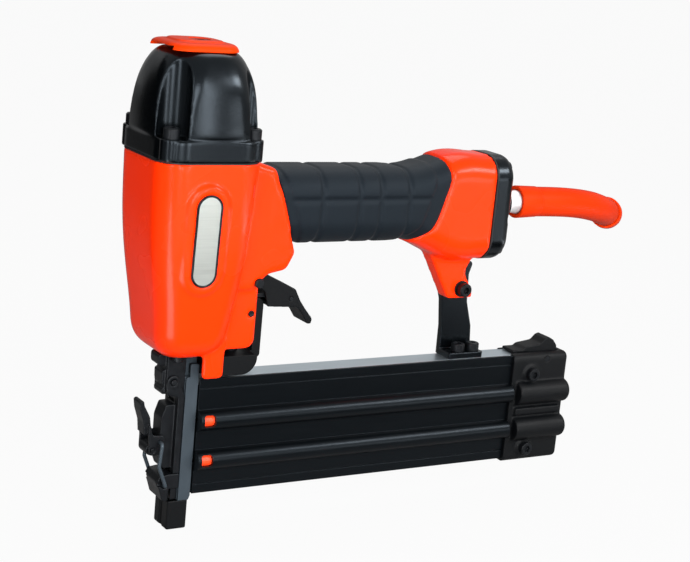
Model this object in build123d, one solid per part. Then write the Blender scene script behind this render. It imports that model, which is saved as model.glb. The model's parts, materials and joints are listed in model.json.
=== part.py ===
from build123d import *
import math
import os

# A pneumatic brad nailer, in millimetres. X = 0, Y = 0 is the driver's axis and Z = 0 the
# underside of the contact tip. +X runs back along the handle to the hose, +Z up the cylinder,
# and -Y is the side that carries the badge.

# Fits
RUNNING = 0.05          # radial clearance of a pin, shaft or piston in its bore
SLIDE_GAP = 0.2         # between flat faces that slide past each other
CLEAR = 0.4             # air between pieces that pass each other

# Contact tip and arm
TIP_FRONT = -2.5
TIP_REAR = 7.9
TIP_HEIGHT = 14.5
TIP_WALL = 1.3
TIP_GROOVE = 1.6
NOSE_HALF = 7.4
ARM_WALL = 1.2
ARM_FRONT = 2.6
ARM_SHOULDER_Z = 75.7
ARM_STRIP_FRONT = 4.5
ARM_TOP = 82.0
SAFETY_TRAVEL = 6.0

# Driver guide and nose door
PARTING_X = 2.4
GUIDE_REAR = 8.9
GUIDE_NECK_HALF = 3.9
LAND_X = 0.85
LAND_HALF = 3.6
FEED_SLOT_HALF = 0.9
NAIL_LOW = 19.0
NAIL_HIGH = 69.0
DOOR_LOW = 28.4
DOOR_HIGH = 66.0
DOOR_FRONT = -1.0
RIB_FRONT = -7.5
RIB_HALF = 4.6
RIB_LOW = 30.5
RIB_HIGH = 62.0
HINGE_X = -3.8
HINGE_Z = 73.7
HINGE_PIN_R = 1.5
HINGE_EAR_R = 3.3
HINGE_EAR_WALL = 1.5

# Hinge block and its screws
FLANGE_T = 5.0
FLANGE_FRONT = -7.0
FLANGE_HALF = 12.0
BLOCK_LOW = 66.6
LOBE_HALF = 4.5
LOBE_TIPS = (-11.4, -9.0, -8.7)
LOBE_NOTCH = -7.4
LOBE_LOW = 67.4
LOBE_TOP = 87.2
NOSE_SCREW_X = -3.6
NOSE_SCREW_Y = 9.2
NOSE_SCREW_R = 1.6
NOSE_SCREW_HEAD_R = 2.6
NOSE_SCREW_HEAD_H = 3.0
NOSE_SCREW_DEPTH = 6.0

# Hook block and the over-centre latch
HOOK_FRONT = -9.0
HOOK_LOW = 15.0
HOOK_X = -4.8
HOOK_Z = 22.5
HOOK_BITE = 1.2
PIVOT_X = -11.5
PIVOT_Z = 40.5
LATCH_PIN_R = 1.2
CHEEK_HALF = 6.0
CHEEK_WALL = 1.3
BAIL_X = -8.0
BAIL_Z = 44.2
BAIL_R = 0.9
BAIL_HALF = 8.6
LEVER_HALF = 4.0
LEVER_SWING = 110.0
FINGER_FRONT = -16.2
FINGER_REAR = -12.4
FINGER_LOW = 47.8
FINGER_TOP = 65.2
TIP_X = -18.8

# Housing shell
SEAM_Z = 180.0
CAP_HALF_X = 25.6
CAP_HALF_Y = 27.0
CAP_CORNER = 12.0
FLOOR_Z = 92.5
FLOOR_T = 9.5
WEB_REAR = 33.0
WEB_LOW = 90.0
WEB_HALF = 15.0
WEB_HOLE_X = 29.8
WEB_HOLE_Z = 107.4
WEB_HOLE_R = 1.3
EAR_FRONT = 6.5
EAR_REAR = 17.2
EAR_LOW = 76.6
EAR_HALF = 15.8
YOKE_HALF = 12.1
NECK_HALF = 16.8
CHANNEL_FRONT = 22.0
CHANNEL_REAR = 44.0
CHANNEL_TOP = 127.4

# Cylinder
BORE_R = 14.5
SLEEVE_WALL = 2.0
SLEEVE_LOW = 110.0
SLEEVE_TOP = 177.0
LOWER_CHAMBER_R = 19.0
UPPER_CHAMBER_R = 21.4
LOWER_CHAMBER_Z = 122.0
UPPER_CHAMBER_Z = 150.0
BUMPER_H = 9.0
PISTON_H = 9.0
PISTON_RING_R = 1.1
BLADE_T = 1.4
BLADE_W = 5.2
BLADE_TIP_Z = 70.5
BLADE_INSERT = 6.0

# Cylinder cap and head valve
GASKET_T = 0.6
FLANGE_H = 10.0
CAP_H = 47.4             # cap's height over its gasket
CAP_ROOF = 12.0
CAP_SCREW_IN_X = 5.3     # cap screws' place, in from the flange's sides
CAP_SCREW_IN_Y = 6.4
CAP_SCREW_R = 2.4
CAP_SCREW_HEAD_R = 3.7
CAP_SCREW_HEAD_H = 5.0
CAP_SCREW_DEPTH = 16.0
FLUTE_R = 7.6
FLUTE_REAR_R = 5.4
CAP_BOSS_R = 4.8
CAP_EDGE = 1.6
VALVE_R = 18.6
VALVE_RISE = 2.4         # head valve over the cap's underside
VALVE_SPRING_L = 17.0
VALVE_RING_IN = 4.0
VALVE_HOLE_R = 7.0
VALVE_SKIRT_R = 16.0
VALVE_RING_R = 1.2
VALVE_SPRING_R = 13.0
SPRING_WIRE = 1.6
EXHAUST_PORT_R = 2.4
EXHAUST_PORT_AT = 11.0

# Exhaust deflector
DEFLECTOR_FRONT = -20.0
DEFLECTOR_REAR = 15.5
DEFLECTOR_HALF_W = 17.0
DEFLECTOR_CORNER = 10.0
DEFLECTOR_H = 4.4
DEFLECTOR_SCREW_R = 2.4
DEFLECTOR_SCREW_HEAD_R = 4.6
DEFLECTOR_SCREW_HEAD_H = 2.6
DEFLECTOR_SCREW_DEPTH = 8.0
DEFLECTOR_POST_R = 6.5
EXHAUST_ROOM_HALF = 12.0
EXHAUST_ROOM_H = 1.7

# Badge
BADGE_X = -2.5
BADGE_Z = 145.5
BADGE_LENGTH = 42.5
BADGE_WIDTH = 12.4
BADGE_T = 1.6
BADGE_LEAN = 2.6

# Handle and rear block
HANDLE_Z = 157.2
GRIP_HALF_H = 18.5
GRIP_HALF_W = 17.0
GRIP_CORNER = 12.5
GRIP_WALL = 2.4
GRIP_JOINT = 0.25
GROOVE_W = 3.0
GROOVE_DEPTH = 0.8
PAD_FRONT_IN = 5.2
PAD_REAR_IN = 9.5
GRIP_RINGS = (62.5, 83.0, 95.0, 111.4)
GRIP_LINE_Z = 161.2
REAR_X = 162.0
REAR_TOP = 182.0
REAR_LOW = 128.0
REAR_CORNER = 12.0
AIR_Z = 156.0
AIR_HALF_W = 11.5
AIR_HALF_H = 12.5
AIR_CORNER = 8.0
AIR_FRONT = 17.5

# Rear end cap and air plug
REAR_GASKET_T = 0.8
END_X = 174.4
END_ROUND = 6.0
BOSS_R = 9.6
BOSS_X = 178.0
NOTCH_Z = 150.6
NOTCH_R = 4.6
REAR_SCREW_Y = 10.0
REAR_SCREW_RISE = 20.5
REAR_SCREW_R = 2.0
REAR_SCREW_HEAD_R = 3.4
REAR_SCREW_HEAD_H = 3.6
REAR_SCREW_REACH = 12.0
PLUG_R = 6.4
PLUG_FLATS = 14.6
PLUG_HEX_L = 10.0
PLUG_BORE_R = 3.2
BARB_L = 12.0
BARB_R = 5.0

# Hose
HOSE_R = 7.8
HOSE_RUNS = ((24.0, 0.0, 0.0), (28.0, 7.0, -3.5), (25.0, 15.0, -6.6), (20.5, 20.5, -6.4))
HOSE_BEND = 0.45
FERRULE_WALL = 1.1
FERRULE_L = 18.0
FERRULE_OVER = 2.0
NIPPLE_R = 6.5
NIPPLE_L = 13.0
NIPPLE_HEX = 15.0
NIPPLE_HEX_L = 6.0

# Trigger and its valve
TRIGGER_X = 31.5
TRIGGER_Z = 122.5
TRIGGER_PIN_R = 1.6
TRIGGER_PIN_HEAD_R = 2.3
TRIGGER_PIN_HEAD_H = 1.4
TRIGGER_HALF = 7.0
TRIGGER_WALL = 1.4
TRIP_X = 55.1
TRIP_Z = 111.4
TRIP_PIN_R = 1.0
STEM_X = 41.0
STEM_R = 1.5
STEM_LOW = 120.6
STEM_TOP = 139.0
STEM_COLLAR_R = 2.7
STEM_COLLAR_T = 2.0
TRIGGER_VALVE_R = 4.6
TRIGGER_VALVE_LOW = 125.6
TRIGGER_VALVE_TOP = 147.0
TRIGGER_VALVE_RING_R = 0.8

# Safety yoke
YOKE_FRONT = 10.2
YOKE_REAR = 36.4
YOKE_LOW = 76.7
YOKE_TOP = 86.2
YOKE_ROUND = 8.0
LEG_FRONT = 36.8
LEG_REAR = 41.2
LEG_HALF = 5.2
LEG_TOP = 112.0
LEG_BEVEL = 2.2
SAFETY_SPRING_X = 27.5
SAFETY_SPRING_R = 3.4
SAFETY_SPRING_LOW = 80.0
SAFETY_SPRING_TOP = 104.0

# Magazine
MAG_NEAR = -8.0
MAG_FAR = 6.0
MAG_FRONT = 8.9
RAIL_OVERHANG = 5.6
RAIL_TOP = 74.6
RAIL_T = 3.2
RAIL_WALL = 2.4
LIP_T = 1.3
SLIDE_LOW = 17.6
SLIDE_REAR = 192.0
SLIDE_WALL = 3.6
SLIDE_TOP_T = 2.6
SLIDE_FLOOR_T = 4.4
TUBE_Y = -8.4
TUBE_R = 5.0
TUBE_BORE_R = 3.3
TUBE_Z = (54.2, 34.4)
TUBE_SLOT_HALF = 0.9
WINDOW_FRONT = 11.0
WINDOW_LENGTH = 5.8
WINDOW_HALF = 2.8
WINDOW_RISE = 0.65
WINDOW_ROUND = 1.4
LINE_Z = (70.0, 22.4)
LINE_W = 0.7
LINE_DEPTH = 0.6
PUSHER_FRONT = 11.0
PUSHER_LENGTH = 26.0
PUSHER_TRAVEL = 120.0
FOLLOWER_LENGTH = 12.0
PUSHER_WIRE = 0.8

# Magazine end cap and rocker latch
CAP_END_LENGTH = 36.0
CAP_END_NEAR = -10.0
CAP_END_FAR = 7.4
CAP_END_LOW = 15.8
CAP_END_TOP = 75.4
LOBE_R = 6.3
LOBE_IN = 3.0
TONGUE_LENGTH = 20.0
END_SCREW_IN = (11.5, 12.5)
END_SCREW_Z = (64.7, 23.4)
END_SCREW_R = 1.7
END_SCREW_HEAD_R = 3.4
END_SCREW_HEAD_H = 3.0
END_BOSS_R = 4.8
END_BOSS_H = 0.9
END_RIB_HALF = 2.0
END_RIB_H = 2.2
END_RIB_IN = 3.5
ROCKER_PIVOT_IN = 14.0
ROCKER_Z = 72.0
ROCKER_PIN_R = 1.5
ROCKER_HALF = 5.0
ROCKER_LENGTH = 21.7
ROCKER_TAIL_IN = 4.8
ROCKER_PEAK_IN = 11.0
ROCKER_PEAK = 82.8
ROCKER_TOP = 78.0
ROCKER_HOOK_L = 7.5
ROCKER_HOOK_T = 1.6
ROCKER_SPRING_IN = 22.0
ROCKER_SPRING_R = 2.2
ROCKER_SPRING_L = 6.0

# Support bracket
LUG_HALF = 4.5
BRACKET_T = 3.2
BRACKET_FRONT = 152.5
BRACKET_REAR = 173.5
BRACKET_BASE_T = 3.0
BOLT_X = 156.0
BOLT_Z = 111.8
BOLT_R = 2.0
BOLT_HEAD_R = 3.5
BOLT_HEAD_H = 4.0
WASHER_R = 4.2
WASHER_T = 0.8
NUT_FLATS = 7.0
NUT_T = 3.2
BASE_SCREW_X = (160.4, 169.5)
BASE_SCREW_Y = -1.2
BASE_SCREW_R = 2.0
BASE_SCREW_HEAD_R = 3.5
BASE_SCREW_HEAD_H = 4.0
CORNER_SHARE = 0.48      # the most of a section's width that one corner's radius takes
SOCKET_DEPTH = 0.55      # share of a screw head's height taken by its hex socket
SOCKET_FLATS = 0.95      # hex socket's width across flats over the head's radius

# Sizes that follow from the ones above
GUIDE_HALF = NOSE_HALF - ARM_WALL - SLIDE_GAP
FLOOR_TOP = FLOOR_Z + FLOOR_T
SLEEVE_R = BORE_R + SLEEVE_WALL
BUMPER_TOP = FLOOR_TOP + BUMPER_H
PISTON_LOW = SLEEVE_TOP - PISTON_H
CAP_LOW = SEAM_Z + GASKET_T
LEDGE_Z = CAP_LOW + FLANGE_H
CAP_TOP = CAP_LOW + CAP_H
DOME_H = CAP_TOP - LEDGE_Z
CAP_SCREW_X = CAP_HALF_X - CAP_SCREW_IN_X
CAP_SCREW_Y = CAP_HALF_Y - CAP_SCREW_IN_Y
VALVE_LOW = CAP_LOW + VALVE_RISE
VALVE_CEILING = CAP_TOP - CAP_ROOF
VALVE_TOP = VALVE_CEILING - VALVE_SPRING_L
BADGE_Y = -CAP_HALF_Y
RAIL_LOW = RAIL_TOP - RAIL_T
SLIDE_TOP = RAIL_LOW - SLIDE_GAP
SLIDE_FAR = MAG_FAR - RAIL_WALL - SLIDE_GAP
SLIDE_FRONT = MAG_FRONT + CLEAR
REAR_Z = (REAR_TOP + REAR_LOW) / 2
END_FACE = REAR_X + REAR_GASKET_T
BRACKET_NEAR = LUG_HALF
RAIL_NEAR = MAG_NEAR + LIP_T + SLIDE_GAP
ROCKER_FLOOR = ROCKER_Z - 4.5
RAIL_REAR = SLIDE_REAR + RAIL_OVERHANG
CAP_END_REAR = SLIDE_REAR + CAP_END_LENGTH
LOBE_FRONT = SLIDE_REAR + LOBE_IN
END_BOSS_FACE = CAP_END_NEAR - END_BOSS_H
TONGUE_REAR = SLIDE_REAR + TONGUE_LENGTH
END_SCREW_X = (SLIDE_REAR + END_SCREW_IN[0], SLIDE_REAR + END_SCREW_IN[1])
ROCKER_X = CAP_END_REAR - ROCKER_PIVOT_IN
ROCKER_REAR = CAP_END_REAR - ROCKER_TAIL_IN
ROCKER_PEAK_X = CAP_END_REAR - ROCKER_PEAK_IN
ROCKER_FRONT = ROCKER_REAR - ROCKER_LENGTH
ROCKER_HOOK_FRONT = ROCKER_FRONT - ROCKER_HOOK_L
ROCKER_SPRING_X = CAP_END_REAR - ROCKER_SPRING_IN


def block(x0, x1, y0, y1, z0, z1):
    """A block between two opposite corners."""
    return Pos((x0 + x1) / 2, (y0 + y1) / 2, (z0 + z1) / 2) * Box(x1 - x0, y1 - y0, z1 - z0)


def rod_x(y, z, radius, x0, x1):
    """A round bar along X."""
    return Pos((x0 + x1) / 2, y, z) * Rot(0, 90, 0) * Cylinder(radius, x1 - x0)


def rod_y(x, z, radius, y0, y1):
    """A round bar along Y."""
    return Pos(x, (y0 + y1) / 2, z) * Rot(90, 0, 0) * Cylinder(radius, y1 - y0)


def rod_z(x, y, radius, z0, z1):
    """A round bar along Z."""
    return Pos(x, y, (z0 + z1) / 2) * Cylinder(radius, z1 - z0)


def outline(corners):
    """A closed face from corners (x, y, radius), each rounded by its own tangent arc."""
    entries = []
    middles = []
    leaves = []
    for index, (x, y, radius) in enumerate(corners):
        corner = Vector(x, y)
        last = corners[index - 1]
        following = corners[(index + 1) % len(corners)]
        back = (Vector(last[0], last[1]) - corner).normalized()
        ahead = (Vector(following[0], following[1]) - corner).normalized()
        half = math.radians(back.get_angle(ahead)) / 2
        reach = radius / math.tan(half)
        inward = (back + ahead).normalized()
        entries.append(corner + back * reach)
        leaves.append(corner + ahead * reach)
        middles.append(corner + inward * (radius / math.sin(half) - radius))
    edges = []
    for index, (x, y, radius) in enumerate(corners):
        if radius > 0:
            edges.append(ThreePointArc(entries[index], middles[index], leaves[index]))
        edges.append(Line(leaves[index], entries[(index + 1) % len(corners)]))
    return make_face(edges)


def side_plate(corners, y0, y1):
    """An outline in the XZ plane given thickness between y0 and y1."""
    plane = Plane((0, y1, 0), x_dir=(1, 0, 0), z_dir=(0, -1, 0))
    return extrude(plane * outline(corners), amount=y1 - y0)


def cross_bar(corners, x0, x1):
    """An outline in the YZ plane carried along X between x0 and x1."""
    plane = Plane((x0, 0, 0), x_dir=(0, 1, 0), z_dir=(1, 0, 0))
    return extrude(plane * outline(corners), amount=x1 - x0)


def plan_section(front, rear, half_width, corner, z):
    """A rounded rectangle seen from above, at height z."""
    length = rear - front
    width = 2 * half_width
    radius = min(corner, CORNER_SHARE * length, CORNER_SHARE * width)
    face = RectangleRounded(length, width, radius)
    return Plane.XY.offset(z) * Pos((front + rear) / 2, 0) * face


def handle_section(x, low, high, half_width, corner):
    """A rounded rectangle across the handle, at station x."""
    plane = Plane((x, 0, (low + high) / 2), x_dir=(0, 1, 0), z_dir=(1, 0, 0))
    return plane * RectangleRounded(2 * half_width, high - low, corner)


def ring(x, y, z, radius, section):
    """An O-ring lying flat."""
    return Pos(x, y, z) * Torus(radius, section)


def coil(x, y, radius, wire, z0, z1):
    """A hidden coil spring, drawn as a plain sleeve of the spring's own size."""
    return rod_z(x, y, radius, z0, z1) - rod_z(x, y, radius - wire, z0, z1)


def hex_bar(plane, flats, length):
    """A hexagonal bar standing on a plane."""
    return extrude(plane * RegularPolygon(flats / math.sqrt(3), 6), amount=length)


def socket_screw(plane, shank_r, reach, head_r, head_h):
    """A socket head screw whose head stands on a plane and whose shank goes below it."""
    shank = Pos(0, 0, -reach / 2) * Cylinder(shank_r, reach)
    head = Pos(0, 0, head_h / 2) * Cylinder(head_r, head_h)
    head = chamfer(head.edges().sort_by(Axis.Z)[-1], head_h * 0.12)
    depth = head_h * SOCKET_DEPTH
    socket = hex_bar(Plane.XY.offset(head_h - depth), head_r * SOCKET_FLATS, depth + head_h)
    return plane * (shank + head - socket)


# Housing

# Height of the cylinder's shell at even steps, how far its front, rear and sides are drawn in from
# the flange there, and its corner radius
SHELL_SIDES = (
    (SEAM_Z, 0.0, 0.0, 0.0, CAP_CORNER),
    (160.0, 0.5, 1.2, 0.1, 12.0),
    (140.0, 1.9, 2.7, 0.7, 11.7),
    (120.0, 4.6, 4.9, 2.1, 11.3),
    (100.0, 7.1, 8.0, 4.2, 10.8),
)
SHELL_FOOT = (
    SHELL_SIDES[-1],
    (96.9, 7.6, 8.7, 4.7, 10.6),
    (93.8, 8.6, 10.0, 5.8, 10.2),
    (90.7, 10.7, 12.6, 8.2, 9.2),
    (87.6, 15.2, 17.0, 12.6, 7.0),
)


def shell():
    solids = []
    for rows in (SHELL_SIDES, SHELL_FOOT):
        sections = []
        for z, front_in, rear_in, side_in, corner in rows:
            front = front_in - CAP_HALF_X
            rear = CAP_HALF_X - rear_in
            sections.append(plan_section(front, rear, CAP_HALF_Y - side_in, corner, z))
        solids.append(loft(sections))
    return solids[0] + solids[1]


# Station, underside, top and corner radius of the handle's straight bar and of the flare behind it
HANDLE_FRONT = 36.0
FLARE = (
    (104.0, HANDLE_Z - GRIP_HALF_H, HANDLE_Z + GRIP_HALF_H, GRIP_CORNER),
    (116.0, 138.2, 175.8, GRIP_CORNER),
    (128.0, 133.8, 179.0, 12.3),
    (140.0, 129.0, REAR_TOP + 0.3, REAR_CORNER),
    (152.0, REAR_LOW, REAR_TOP + 0.4, REAR_CORNER),
    (REAR_X, REAR_LOW, REAR_TOP, REAR_CORNER),
)


def handle_bar(inset):
    """The handle and rear block, drawn in by an inset all round."""
    half = GRIP_HALF_W - inset
    sections = []
    for x, low, high, corner in FLARE:
        sections.append(handle_section(x, low + inset, high - inset, half, corner - inset))
    x, low, high, corner = FLARE[0]
    start = handle_section(HANDLE_FRONT, low + inset, high - inset, half, corner - inset)
    return extrude(start, amount=x - HANDLE_FRONT) + loft(sections)


# Outline of the rubber sleeve seen from the side: front joint, then the curved rear joint
GRIP_FRONT_TOP = (36.0, 178.6)
GRIP_FRONT_LOW = (52.3, 130.0)
GRIP_REAR = (
    (127.0, 188.0), (133.4, 180.0), (135.2, 171.0), (132.4, 160.0), (125.6, 145.0), (118.6, 139.4),
    (117.0, 130.0),
)


def grip_zone(front_in, rear_in):
    """The rubber sleeve's outline seen from the side, drawn in at its front and rear joints."""
    front_top = (GRIP_FRONT_TOP[0] + front_in, GRIP_FRONT_TOP[1])
    front_low = (GRIP_FRONT_LOW[0] + front_in, GRIP_FRONT_LOW[1])
    rear = []
    for x, z in GRIP_REAR:
        rear.append((x - rear_in, z))
    edges = [
        Line(front_low, front_top),
        Line(front_top, rear[0]),
        Spline(*rear),
        Line(rear[-1], front_low),
    ]
    plane = Plane((0, 2 * GRIP_HALF_W, 0), x_dir=(1, 0, 0), z_dir=(0, -1, 0))
    return extrude(plane * make_face(edges), amount=4 * GRIP_HALF_W)


def neck():
    corners = (
        (8.0, SEAM_Z - 0.4, 0), (25.0, SEAM_Z - 0.4, 6), (37.2, 176.2, 5), (50.6, 136.2, 4),
        (46.4, 127.8, 4), (37.0, 126.0, 4), (30.0, 119.5, 0), (8.0, 119.5, 0),
    )
    solid = side_plate(corners, -NECK_HALF, NECK_HALF)
    rims = []
    for face in (solid.faces().sort_by(Axis.Y)[0], solid.faces().sort_by(Axis.Y)[-1]):
        for edge in face.edges():
            if edge.center().X > 12 and edge.center().Z > 121:
                rims.append(edge)
    return fillet(rims, 3.2)


def web():
    corners = (
        (4.0, 128.0, 0), (WEB_REAR, 128.0, 0), (WEB_REAR, WEB_LOW, 5),
        (4.0, WEB_LOW, 0),
    )
    solid = side_plate(corners, -WEB_HALF, WEB_HALF)
    return fillet(solid.edges().filter_by(Axis.Z).group_by(Axis.X)[-1], 1.6)


def ears():
    corners = (
        (EAR_FRONT, 96.0, 0), (EAR_REAR, 96.0, 0), (EAR_REAR, EAR_LOW, 2.2), (EAR_FRONT, EAR_LOW, 2.2),
    )
    inner = YOKE_HALF + CLEAR
    return side_plate(corners, -EAR_HALF, -inner) + side_plate(corners, inner, EAR_HALF)


def lug():
    corners = (
        (118.0, 140.0, 0), (131.0, 137.0, 12), (148.4, 106.6, 2.5), (165.2, 106.6, 2), (157.2, 120.4, 5),
        (162.0, 130.0, 0), (162.0, 140.0, 0),
    )
    return side_plate(corners, -LUG_HALF, LUG_HALF)


def badge_plane(lift):
    """The leaning plane of the badge's pocket floor, lifted outwards."""
    lean = math.radians(BADGE_LEAN)
    normal = (0, -math.cos(lean), -math.sin(lean))
    base = (BADGE_X, BADGE_Y, BADGE_Z)
    origin = tuple(base[axis] + normal[axis] * lift for axis in range(3))
    return Plane(origin, x_dir=(1, 0, 0), z_dir=normal)


def stadium(width, length):
    return Rot(0, 0, 90) * SlotOverall(length, width)


BADGE_PAD = 4.0          # how far the raised pad reaches past the badge
BADGE_PAD_H = 0.7
BADGE_RIM = 0.25


def badge_pad():
    face = stadium(BADGE_WIDTH + 2 * BADGE_PAD, BADGE_LENGTH + 2 * BADGE_PAD)
    solid = extrude(badge_plane(-BADGE_PAD) * face, amount=BADGE_PAD + BADGE_PAD_H)
    return fillet(solid.faces().sort_by(Axis.Y)[0].edges(), 0.6)


def badge_pocket(depth):
    """The badge's outline from its seat in the pad outwards."""
    plane = badge_plane(BADGE_PAD_H + BADGE_RIM - BADGE_T)
    return extrude(plane * stadium(BADGE_WIDTH, BADGE_LENGTH), amount=depth)


def badge_plate():
    solid = badge_pocket(BADGE_T)
    return fillet(solid.faces().sort_by(Axis.Y)[0].edges(), 0.4)


def blade_shaft(gap, z0, z1):
    return block(-BLADE_T / 2 - gap, BLADE_T / 2 + gap, -BLADE_W / 2 - gap, BLADE_W / 2 + gap, z0, z1)


def air_room(x0, x1):
    return extrude(handle_section(x0, AIR_Z - AIR_HALF_H, AIR_Z + AIR_HALF_H, AIR_HALF_W, AIR_CORNER),
                   amount=x1 - x0)


SLEEVE_RING_R = 1.2
SLEEVE_RING_Z = (113.5, 118.5)


def housing():
    solid = shell() + web() + ears() + (neck() - grip_zone(0, 0))
    solid = solid + (handle_bar(0) - grip_zone(0, 0)) + handle_bar(GRIP_WALL) + lug()
    solid = solid + badge_pad()
    solid = solid - badge_pocket(BADGE_T + BADGE_PAD)
    solid = solid - block(-60, 100, -60, 60, SEAM_Z, SEAM_Z + 30)
    # cylinder bores, from the bumper's seat to the seam
    solid = solid - rod_z(0, 0, BORE_R, FLOOR_TOP, SLEEVE_LOW)
    solid = solid - rod_z(0, 0, SLEEVE_R, SLEEVE_LOW, SEAM_Z)
    solid = solid - rod_z(0, 0, LOWER_CHAMBER_R, LOWER_CHAMBER_Z, SEAM_Z)
    solid = solid - rod_z(0, 0, UPPER_CHAMBER_R, UPPER_CHAMBER_Z, SEAM_Z)
    for z in SLEEVE_RING_Z:
        groove = rod_z(0, 0, SLEEVE_R + 2 * SLEEVE_RING_R, z - 1.4, z + 1.4)
        solid = solid - groove
    solid = solid - blade_shaft(CLEAR, FLOOR_Z - 1, FLOOR_TOP + 1)
    # room under the floor for the nose and the safety yoke
    room = YOKE_HALF + CLEAR
    solid = solid - block(FLANGE_FRONT, YOKE_REAR + 6, -room, room, 60, FLOOR_Z)
    channel = TRIGGER_HALF + CLEAR
    solid = solid - block(CHANNEL_FRONT, CHANNEL_REAR, -channel, channel, 60, CHANNEL_TOP)
    spring_room = SAFETY_SPRING_R + CLEAR
    solid = solid - rod_z(SAFETY_SPRING_X, 0, spring_room, FLOOR_Z - 1, SAFETY_SPRING_TOP)
    for y in (-NOSE_SCREW_Y, NOSE_SCREW_Y):
        solid = solid - rod_z(NOSE_SCREW_X, y, NOSE_SCREW_R, FLOOR_Z - 1, FLOOR_Z + NOSE_SCREW_DEPTH)
    for x in (-CAP_SCREW_X, CAP_SCREW_X):
        for y in (-CAP_SCREW_Y, CAP_SCREW_Y):
            solid = solid - rod_z(x, y, CAP_SCREW_R, SEAM_Z - CAP_SCREW_DEPTH, SEAM_Z + 1)
    # air reservoir in the handle, and the trigger valve's bore below it
    solid = solid - air_room(AIR_FRONT, REAR_X + 1)
    solid = solid - rod_z(STEM_X, 0, TRIGGER_VALVE_R, TRIGGER_VALVE_LOW - 4, AIR_Z)
    for z in TRIGGER_VALVE_RINGS:
        solid = solid - rod_z(STEM_X, 0, TRIGGER_VALVE_R + 2 * TRIGGER_VALVE_RING_R, z - 1.1, z + 1.1)
    # cross holes
    solid = solid - rod_y(TRIGGER_X, TRIGGER_Z, TRIGGER_PIN_R, -60, 60)
    solid = solid - rod_y(WEB_HOLE_X, WEB_HOLE_Z, WEB_HOLE_R, -60, 0)
    solid = solid - rod_y(BOLT_X, BOLT_Z, BOLT_R, -60, 60)
    for y in (-REAR_SCREW_Y, REAR_SCREW_Y):
        for z in (REAR_Z - REAR_SCREW_RISE, REAR_Z + REAR_SCREW_RISE):
            solid = solid - rod_x(y, z, REAR_SCREW_R, REAR_X - REAR_SCREW_REACH, REAR_X + 1)
    return solid


def grip_sleeve():
    pads = handle_bar(0) & grip_zone(PAD_FRONT_IN, PAD_REAR_IN)
    half = GROOVE_W / 2
    for x in GRIP_RINGS:
        pads = pads - block(x - half, x + half, -40, 40, 100, 200)
    pads = pads - block(HANDLE_FRONT, REAR_X, -40, 40, GRIP_LINE_Z - half, GRIP_LINE_Z + half)
    sleeve = handle_bar(GROOVE_DEPTH) & grip_zone(GRIP_JOINT, GRIP_JOINT)
    return sleeve + pads - handle_bar(GRIP_WALL)


# Cylinder, piston and cap


def cylinder_sleeve():
    solid = rod_z(0, 0, SLEEVE_R, SLEEVE_LOW, SLEEVE_TOP) - rod_z(0, 0, BORE_R, SLEEVE_LOW, SLEEVE_TOP)
    for turn in range(6):
        port = Rot(0, 0, 60 * turn + 30) * rod_x(0, 128.0, 1.4, BORE_R - 2, SLEEVE_R + 2)
        solid = solid - port
    return solid


def cylinder_o_rings():
    rings = ring(0, 0, SLEEVE_RING_Z[0], SLEEVE_R + SLEEVE_RING_R, SLEEVE_RING_R)
    return Compound([rings, ring(0, 0, SLEEVE_RING_Z[1], SLEEVE_R + SLEEVE_RING_R, SLEEVE_RING_R)])


def bumper():
    solid = rod_z(0, 0, BORE_R, FLOOR_TOP, BUMPER_TOP) - rod_z(0, 0, BLADE_W / 2 + 2, FLOOR_TOP, BUMPER_TOP)
    return chamfer(solid.edges().group_by(Axis.Z)[-1], 1.2)


def driver_blade():
    return blade_shaft(0, BLADE_TIP_Z, PISTON_LOW + BLADE_INSERT)


def piston_ring_z():
    return PISTON_LOW + PISTON_H * 0.6


def driver_piston():
    solid = rod_z(0, 0, BORE_R - RUNNING, PISTON_LOW, SLEEVE_TOP)
    groove = rod_z(0, 0, BORE_R + 1, piston_ring_z() - 1.3, piston_ring_z() + 1.3)
    solid = solid - (groove - rod_z(0, 0, BORE_R - RUNNING - 2 * PISTON_RING_R, PISTON_LOW, SLEEVE_TOP))
    return solid - driver_blade()


def piston_o_ring():
    return ring(0, 0, piston_ring_z(), BORE_R - RUNNING - PISTON_RING_R, PISTON_RING_R)


def cap_gasket():
    solid = extrude(plan_section(-CAP_HALF_X, CAP_HALF_X, CAP_HALF_Y, CAP_CORNER, SEAM_Z), amount=GASKET_T)
    solid = solid - rod_z(0, 0, UPPER_CHAMBER_R, SEAM_Z - 1, CAP_LOW + 1)
    for x in (-CAP_SCREW_X, CAP_SCREW_X):
        for y in (-CAP_SCREW_Y, CAP_SCREW_Y):
            solid = solid - rod_z(x, y, CAP_SCREW_R, SEAM_Z - 1, CAP_LOW + 1)
    return solid


# Share of the dome's height at each section, how far its front, rear and sides are drawn in from the
# flange there, and how much its corners are rounder than the flange's
DOME = (
    (0.0, 0.2, 0.6, 1.3, 0.6),
    (0.25, 0.4, 1.0, 1.6, 1.6),
    (0.492, 1.4, 1.8, 2.2, 2.6),
    (0.706, 3.0, 3.4, 3.4, 4.0),
    (0.866, 5.2, 5.7, 5.5, 4.2),
    (0.963, 7.8, 8.2, 7.9, 3.2),
    (1.0, 9.8, 10.2, 9.8, 2.2),
)


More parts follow.
